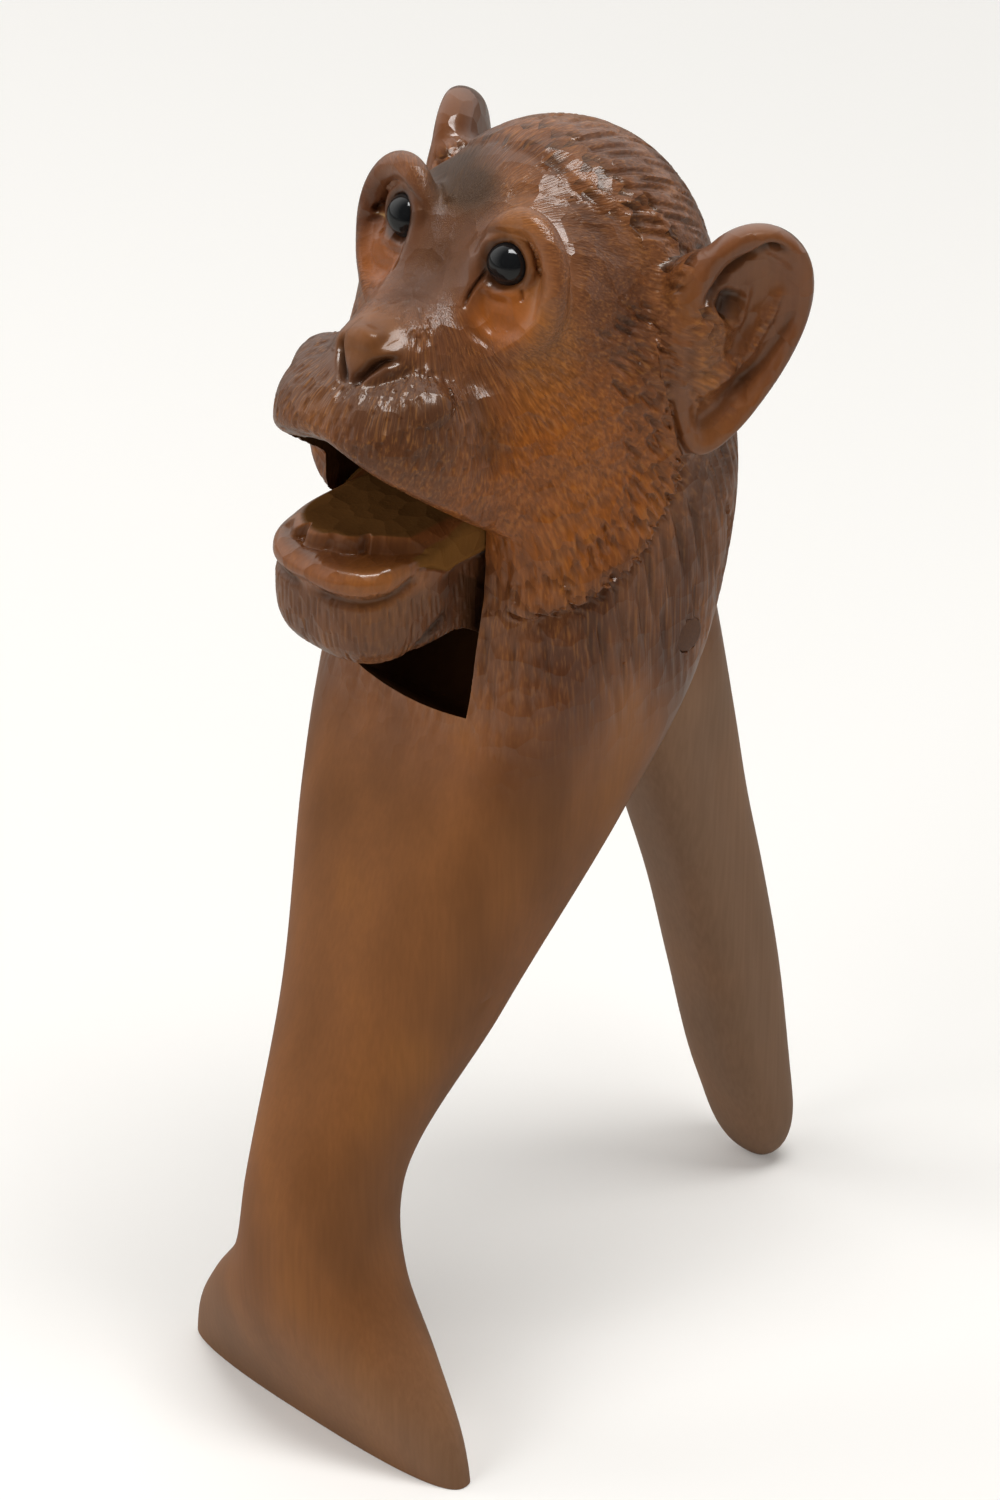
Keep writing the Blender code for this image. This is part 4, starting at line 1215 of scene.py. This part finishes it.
points = read_points(lever)
normals = read_normals(lever)
flat_top = smooth_step(points[:, 2], 155.0, 155.4) * smooth_step(normals[:, 2], 0.6, 0.9)
side_line_rows = [(9.0, 156.0), (9.7, 151.8), (15.7, 148.5), (22.3, 144.0), (27.0, 140.0)]
side_line = np.interp(points[:, 1], *np.transpose(side_line_rows))
sawn_side = (points[:, 2] > side_line) * (np.abs(points[:, 0]) > 10.6) * (points[:, 1] < 34)
between_teeth = smooth_step(beyond_teeth(points), -0.1, 0.5) * smooth_step(points[:, 2], 152.2, 153.2)
keep(lever, "hollow", np.maximum(np.clip(-lever_distance(points) / 0.7, 0, 1), 0.55 * between_teeth))
keep(lever, "sawn", np.maximum(flat_top, sawn_side))
# Painted shade on the arm behind the chin and in the slot, and a little on the jaw's flat top.
behind_chin = smooth_step(points[:, 1], 18, 21.5) * (points[:, 2] > 128) * (points[:, 2] < side_line)
behind_chin = np.maximum(behind_chin, smooth_step(points[:, 1], 24, 30) * (points[:, 2] > 128))
keep(lever, "throat", np.maximum(0.8 * behind_chin, 0.4 * flat_top))
lip_glow = smooth_step(points[:, 2], 147, 149) * (points[:, 1] < 22)
# The lower lip is warmed, partly its own colour and partly a painted sheen on its roll.
keep(lever, "warm", np.maximum(0.3 * lip_glow, 0.5 * near_to(points, (-8, 0, 150), (1, 1, 0.6), 2, 6)))
keep(lever, "shaded", 0.5 * smooth_step(points[:, 2], 128, 140) * (1 - 0.7 * lip_glow))
# Painted sheen: the lower rear handle is greyed where its satin would catch the light.
keep(lever, "grey_sheen", smooth_step(-points[:, 2], -122, -100))
for name in ("soot", "pale", "hairline", "ruff"):
    keep(lever, name, np.zeros(len(points)))
keep(lever, "varnish", smooth_step(points[:, 2], 100, 130))
bearded = smooth_step(-points[:, 2], -149, -147) * (points[:, 1] < 24) * (points[:, 2] > 130)
keep(lever, "fur", np.maximum(0.7 * bearded, 0.4 * lip_glow))

# %% [markdown]
# ## Stained and varnished hardwood
#
# The wood is a fine-grained hardwood with a red-brown stain. The varnish on the head is thick
# and shiny, and hands have rubbed the handles to a satin. A photograph could be wrapped round it,
# but noise in the solid has no seams and follows each cut as real stain does. Broad patches and
# lengthwise fibres give the colour, and the masks change it. Hair finer than the carved locks is
# noise drawn out along its growth: a direction from the hair root stays the same all along one
# hair, so noise that reads this direction and the distance from the root makes long thin streaks.
# The Object coordinates are in metres, so a scale is one over the size of the pattern. The fibres
# of real hardwood are a tenth as wide and would not show, so they are drawn 0.6 mm wide.
#
# Wood and varnish both have an IOR of about 1.5. What the wood itself mirrors is tinted, because
# light that enters the fibres comes back brown, and the varnish over it mirrors white.

# %% Fine hair and grain
wood, wood_shader = new_material(
    "stained_varnished_hardwood",
    {"IOR": 1.5, "Coat IOR": 1.5, "Coat Roughness": 0.16, "Specular Tint": linear("#f2cfae")},
)
place = add_node(wood, "TexCoord", output="Object")
mask_names = ("hollow", "sawn", "throat", "warm", "soot", "pale")
mask_names += ("shaded", "grey_sheen", "varnish", "fur", "hairline", "ruff")
masks = {name: add_node(wood, "Attribute", {"attribute_name": name}, "Fac") for name in mask_names}


def streaks(width, length, tilt, settings):
    """Noise drawn out upwards, for a pattern of this width and length that leans back a little."""
    drawn_out = {"Scale": (1 / width, 1 / width, 1 / length), "Rotation": (tilt, 0, 0)}
    stretched = add_node(wood, "Mapping", {"Vector": place, **drawn_out})
    return add_node(wood, "TexNoise", {"Scale": 1.0, "Vector": stretched, **settings})


hair_width, hair_length, usual_reach = 0.42 * mm, 9 * mm, 35 * mm
from_root = add_node(wood, "VectorMath", {"operation": "SUBTRACT", 0: place, 1: hair_root * mm})
growth = add_node(wood, "VectorMath", {"operation": "NORMALIZE", 0: from_root})
reach = add_node(wood, "VectorMath", {"operation": "LENGTH", 0: from_root}, "Value")
fan = usual_reach / hair_width
down_hair = add_node(wood, "Math", {"operation": "MULTIPLY", 0: reach, 1: 1 / (hair_length * fan)})
head_hair = add_node(
    wood,
    "TexNoise",
    {"noise_dimensions": "4D", "Scale": fan, "Detail": 1.5, "Vector": growth, "W": down_hair},
)
neck_hair = streaks(hair_width, 2 * hair_length, 0.12, {"Detail": 1.5})
height_up = add_node(wood, "SeparateXYZ", {0: place}, "Z")
on_head = add_node(wood, "MapRange", {"Value": height_up, "From Min": 138 * mm, "From Max": 154 * mm})
hair = add_node(wood, "Mix", {0: on_head, 2: neck_hair, 3: head_hair})
fibre_width, fibre_length = 0.6 * mm, 20 * mm
grain = streaks(fibre_width, fibre_length, 0.15, {"Detail": 3.0})

# %% [markdown]
# The short chips of the hairline and the strands of the ruff lie over each other as shingles do.
# Voronoi cells that are drawn out along the hair give their outlines, and the way from a cell's
# middle to its ends gives each one a slope, deep in front and level behind. Plain round cells,
# hollowed like bowls, are the marks of the gouge that smoothed the rest of the head.

# %% Chips and strands
def shingles(width, length, distance):
    """Cells drawn out along the hair, which rise from -0.5 at their front to 0.5 behind."""
    scale = distance / width
    down = add_node(wood, "Math", {"operation": "MULTIPLY", 0: reach, 1: 1 / (length * scale)})
    cells = {"voronoi_dimensions": "4D", "Scale": scale, "Vector": growth, "W": down}
    middle = add_node(wood, "TexVoronoi", cells, "W")
    past_middle = add_node(wood, "Math", {"operation": "SUBTRACT", 0: down, 1: middle})
    return add_node(wood, "Math", {"operation": "MULTIPLY", 0: past_middle, 1: scale})


gouge_width = 3.4 * mm
from_cut = add_node(wood, "TexVoronoi", {"Scale": 1 / gouge_width, "Vector": place})
facets = add_node(wood, "Math", {"operation": "MULTIPLY", 0: from_cut, 1: from_cut})
chips = shingles(1.6 * mm, 4.5 * mm, 26 * mm)
strands = shingles(1.15 * mm, 4.5 * mm, 48 * mm)

# %% Colour of the wood
patch_width, patch_length = 12 * mm, 80 / 3 * mm
patches = streaks(patch_width, patch_length, 0.15, {"Detail": 2.0, "Roughness": 0.45})
colour = add_node(wood, "ValToRGB", {"Fac": patches})
stain_stops = ((0.32, "#552e1a"), (0.44, "#6c4026"), (0.55, "#7e4c2c"), (0.70, "#91592c"))
stops = colour.node.color_ramp.elements
while len(stops) < len(stain_stops):
    stops.new(0.5)
for stop, (position, code) in zip(stops, stain_stops):
    stop.position = position
    stop.color = linear(code)
washes = [
    # colour, mask, how much at most, and the pattern that it follows, from full to nothing
    # warm tone of the wood, and on the lower lip partly a painted sheen
    ("#98500f", "warm", 0.85, None, None),
    ("#4c2e1d", "shaded", 1.0, None, None),
    ("#7c4e26", None, 0.6, masks["varnish"], (0.0, 1.0)),
    # painted sheen, grey on the foot and the rear handle
    ("#84705e", "grey_sheen", 0.5, None, None),
    # painted shade at the deep front of each hairline chip and ruff strand
    ("#391d0c", "hairline", 0.95, chips, (-0.45, 0.0)),
    ("#42200a", "ruff", 0.6, strands, (-0.45, 0.0)),
    ("#45260f", None, 0.16, grain, (0.35, 0.7)),
    # painted highlight on the ridges and painted shade in the grooves that the hair noise bumps
    ("#b07434", "fur", 0.25, hair, (0.72, 0.54)),
    ("#391d0c", "fur", 0.42, hair, (0.32, 0.6)),
    # darker in the deep cuts, and painted shade round the beads
    ("#2a150a", "hollow", 0.85, None, None),
    ("#2e241e", "soot", 0.85, None, None),
    ("#d2aa6c", "pale", 1.0, None, None),
    ("#6f4a24", "sawn", 1.0, None, None),
    # painted shade in the mouth and the slot
    ("#3a2416", "throat", 1.0, None, None),
]
for code, mask, most, pattern, fade in washes:
    if pattern is not None:
        ends = {"From Min": fade[0], "From Max": fade[1], "To Min": most, "To Max": 0.0}
        most = add_node(wood, "MapRange", {"Value": pattern, **ends})
    share = add_node(wood, "Math", {"operation": "MULTIPLY", 0: most, 1: masks.get(mask, 1.0)})
    mixed = {"data_type": "RGBA", 0: share, 6: colour, 7: linear(code)}
    colour = add_node(wood, "Mix", mixed, 2)

# %% Gloss and bump of the wood
# Sawn wood, and the wood painted with shade in the mouth and slot, get no varnish shine.
unfinished = add_node(wood, "Math", {"operation": "MAXIMUM", 0: masks["sawn"], 1: masks["throat"]})
finished = add_node(wood, "Math", {"operation": "SUBTRACT", 0: 1.0, 1: unfinished})
lacquer = add_node(wood, "Math", {"operation": "MULTIPLY", 0: masks["varnish"], 1: finished})
soaked_in = add_node(wood, "MapRange", {"Value": masks["fur"], "To Min": 0.95, "To Max": 0.55})
coat = add_node(wood, "Math", {"operation": "MULTIPLY", 0: lacquer, 1: soaked_in})
shine = add_node(wood, "Math", {"operation": "MULTIPLY_ADD", 0: masks["varnish"], 1: -0.05, 2: 0.5})
finished_shine = add_node(wood, "Math", {"operation": "MULTIPLY", 0: shine, 1: finished})
satin = add_node(wood, "MapRange", {"Value": lacquer, "To Min": 0.5, "To Max": 0.42})
hair_relief = add_node(wood, "Math", {"operation": "MULTIPLY", 0: hair, 1: masks["fur"]})
relief = add_node(wood, "Math", {"operation": "MULTIPLY_ADD", 0: grain, 1: 0.03, 2: hair_relief})
cut_surface = {}
for cells, mask, depth in ((facets, "varnish", 0.4), (chips, "hairline", 1.2), (strands, "ruff", 0.5)):
    cuts = add_node(wood, "Math", {"operation": "MULTIPLY", 0: cells, 1: masks[mask]})
    bumps = {"Strength": 1.0, "Distance": depth * mm, "Height": cuts, **cut_surface}
    cut_surface = {"Normal": add_node(wood, "Bump", bumps)}
wood_bump, varnish_bump = (
    add_node(wood, "Bump", {"Strength": 1.0, "Distance": depth * mm, "Height": relief, **cut_surface})
    for depth in (0.16, 0.07)
)
set_values(
    wood_shader,
    {
        "Base Color": colour,
        "Roughness": satin,
        "Specular IOR Level": finished_shine,
        "Coat Weight": coat,
        "Normal": wood_bump,
        "Coat Normal": varnish_bump,
    },
)
for made in (block, lever):
    made.data.materials.clear()
    made.data.materials.append(wood)

# %% [markdown]
# ## Glass, end grain and wire
#
# The beads are black glass, with a polish that is not quite a mirror's. The dowel was cut off
# across the grain, which drinks more stain and shows as dark specks. The wires are drawn steel,
# with marks of the die, which are drawn 0.1 mm wide because real ones would not show. The last
# two differ only in their colours and the size of their specks, so one function makes both.

# %% Glass, dowel and wire
glass, _ = new_material(
    "black_glass", {"Base Color": linear("#141516"), "Roughness": 0.1, "IOR": 1.52}
)
for bead in beads:
    bead.data.materials.append(glass)


def specked(name, settings, size, detail, codes):
    """A material with specks of this size, from the first colour to the second."""
    made, shader = new_material(name, settings)
    made_place = add_node(made, "TexCoord", output="Object")
    specks = add_node(
        made, "TexNoise", {"Scale": 1 / size, "Detail": detail, "Vector": made_place}
    )
    specked_colour = add_node(made, "ValToRGB", {"Fac": specks})
    for stop, code in zip(specked_colour.node.color_ramp.elements, codes):
        stop.color = linear(code)
    set_values(shader, {"Base Color": specked_colour})
    return made


end_grain = specked("stained_end_grain", {"Roughness": 0.4}, 0.4 * mm, 3.0, ("#3a2213", "#6a4125"))
dowel.data.materials.append(end_grain)
steel = specked(
    "drawn_steel", {"Metallic": 1.0, "Roughness": 0.35}, 0.1 * mm, 2.0, ("#85837f", "#a09e9a")
)
for node in ("eye_wire_left", "eye_wire_right"):
    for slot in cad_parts[node].material_slots:
        slot.material = steel

# %% [markdown]
# ## What replaces what
#
# Each dressed piece stands for one CAD node and moves with its body.

# %% Hand over
for made, node, body, finish in (
    (block, "head_and_front_handle", "block", "stained_wood"),
    (lever, "jaw_and_rear_handle", "lever", "stained_wood"),
    (dowel, "pivot_pin", "block", "dowel_wood"),
    (beads[0], "eye_left", "block", "black_glass"),
    (beads[1], "eye_right", "block", "black_glass"),
):
    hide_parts(node)
    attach(made, body)
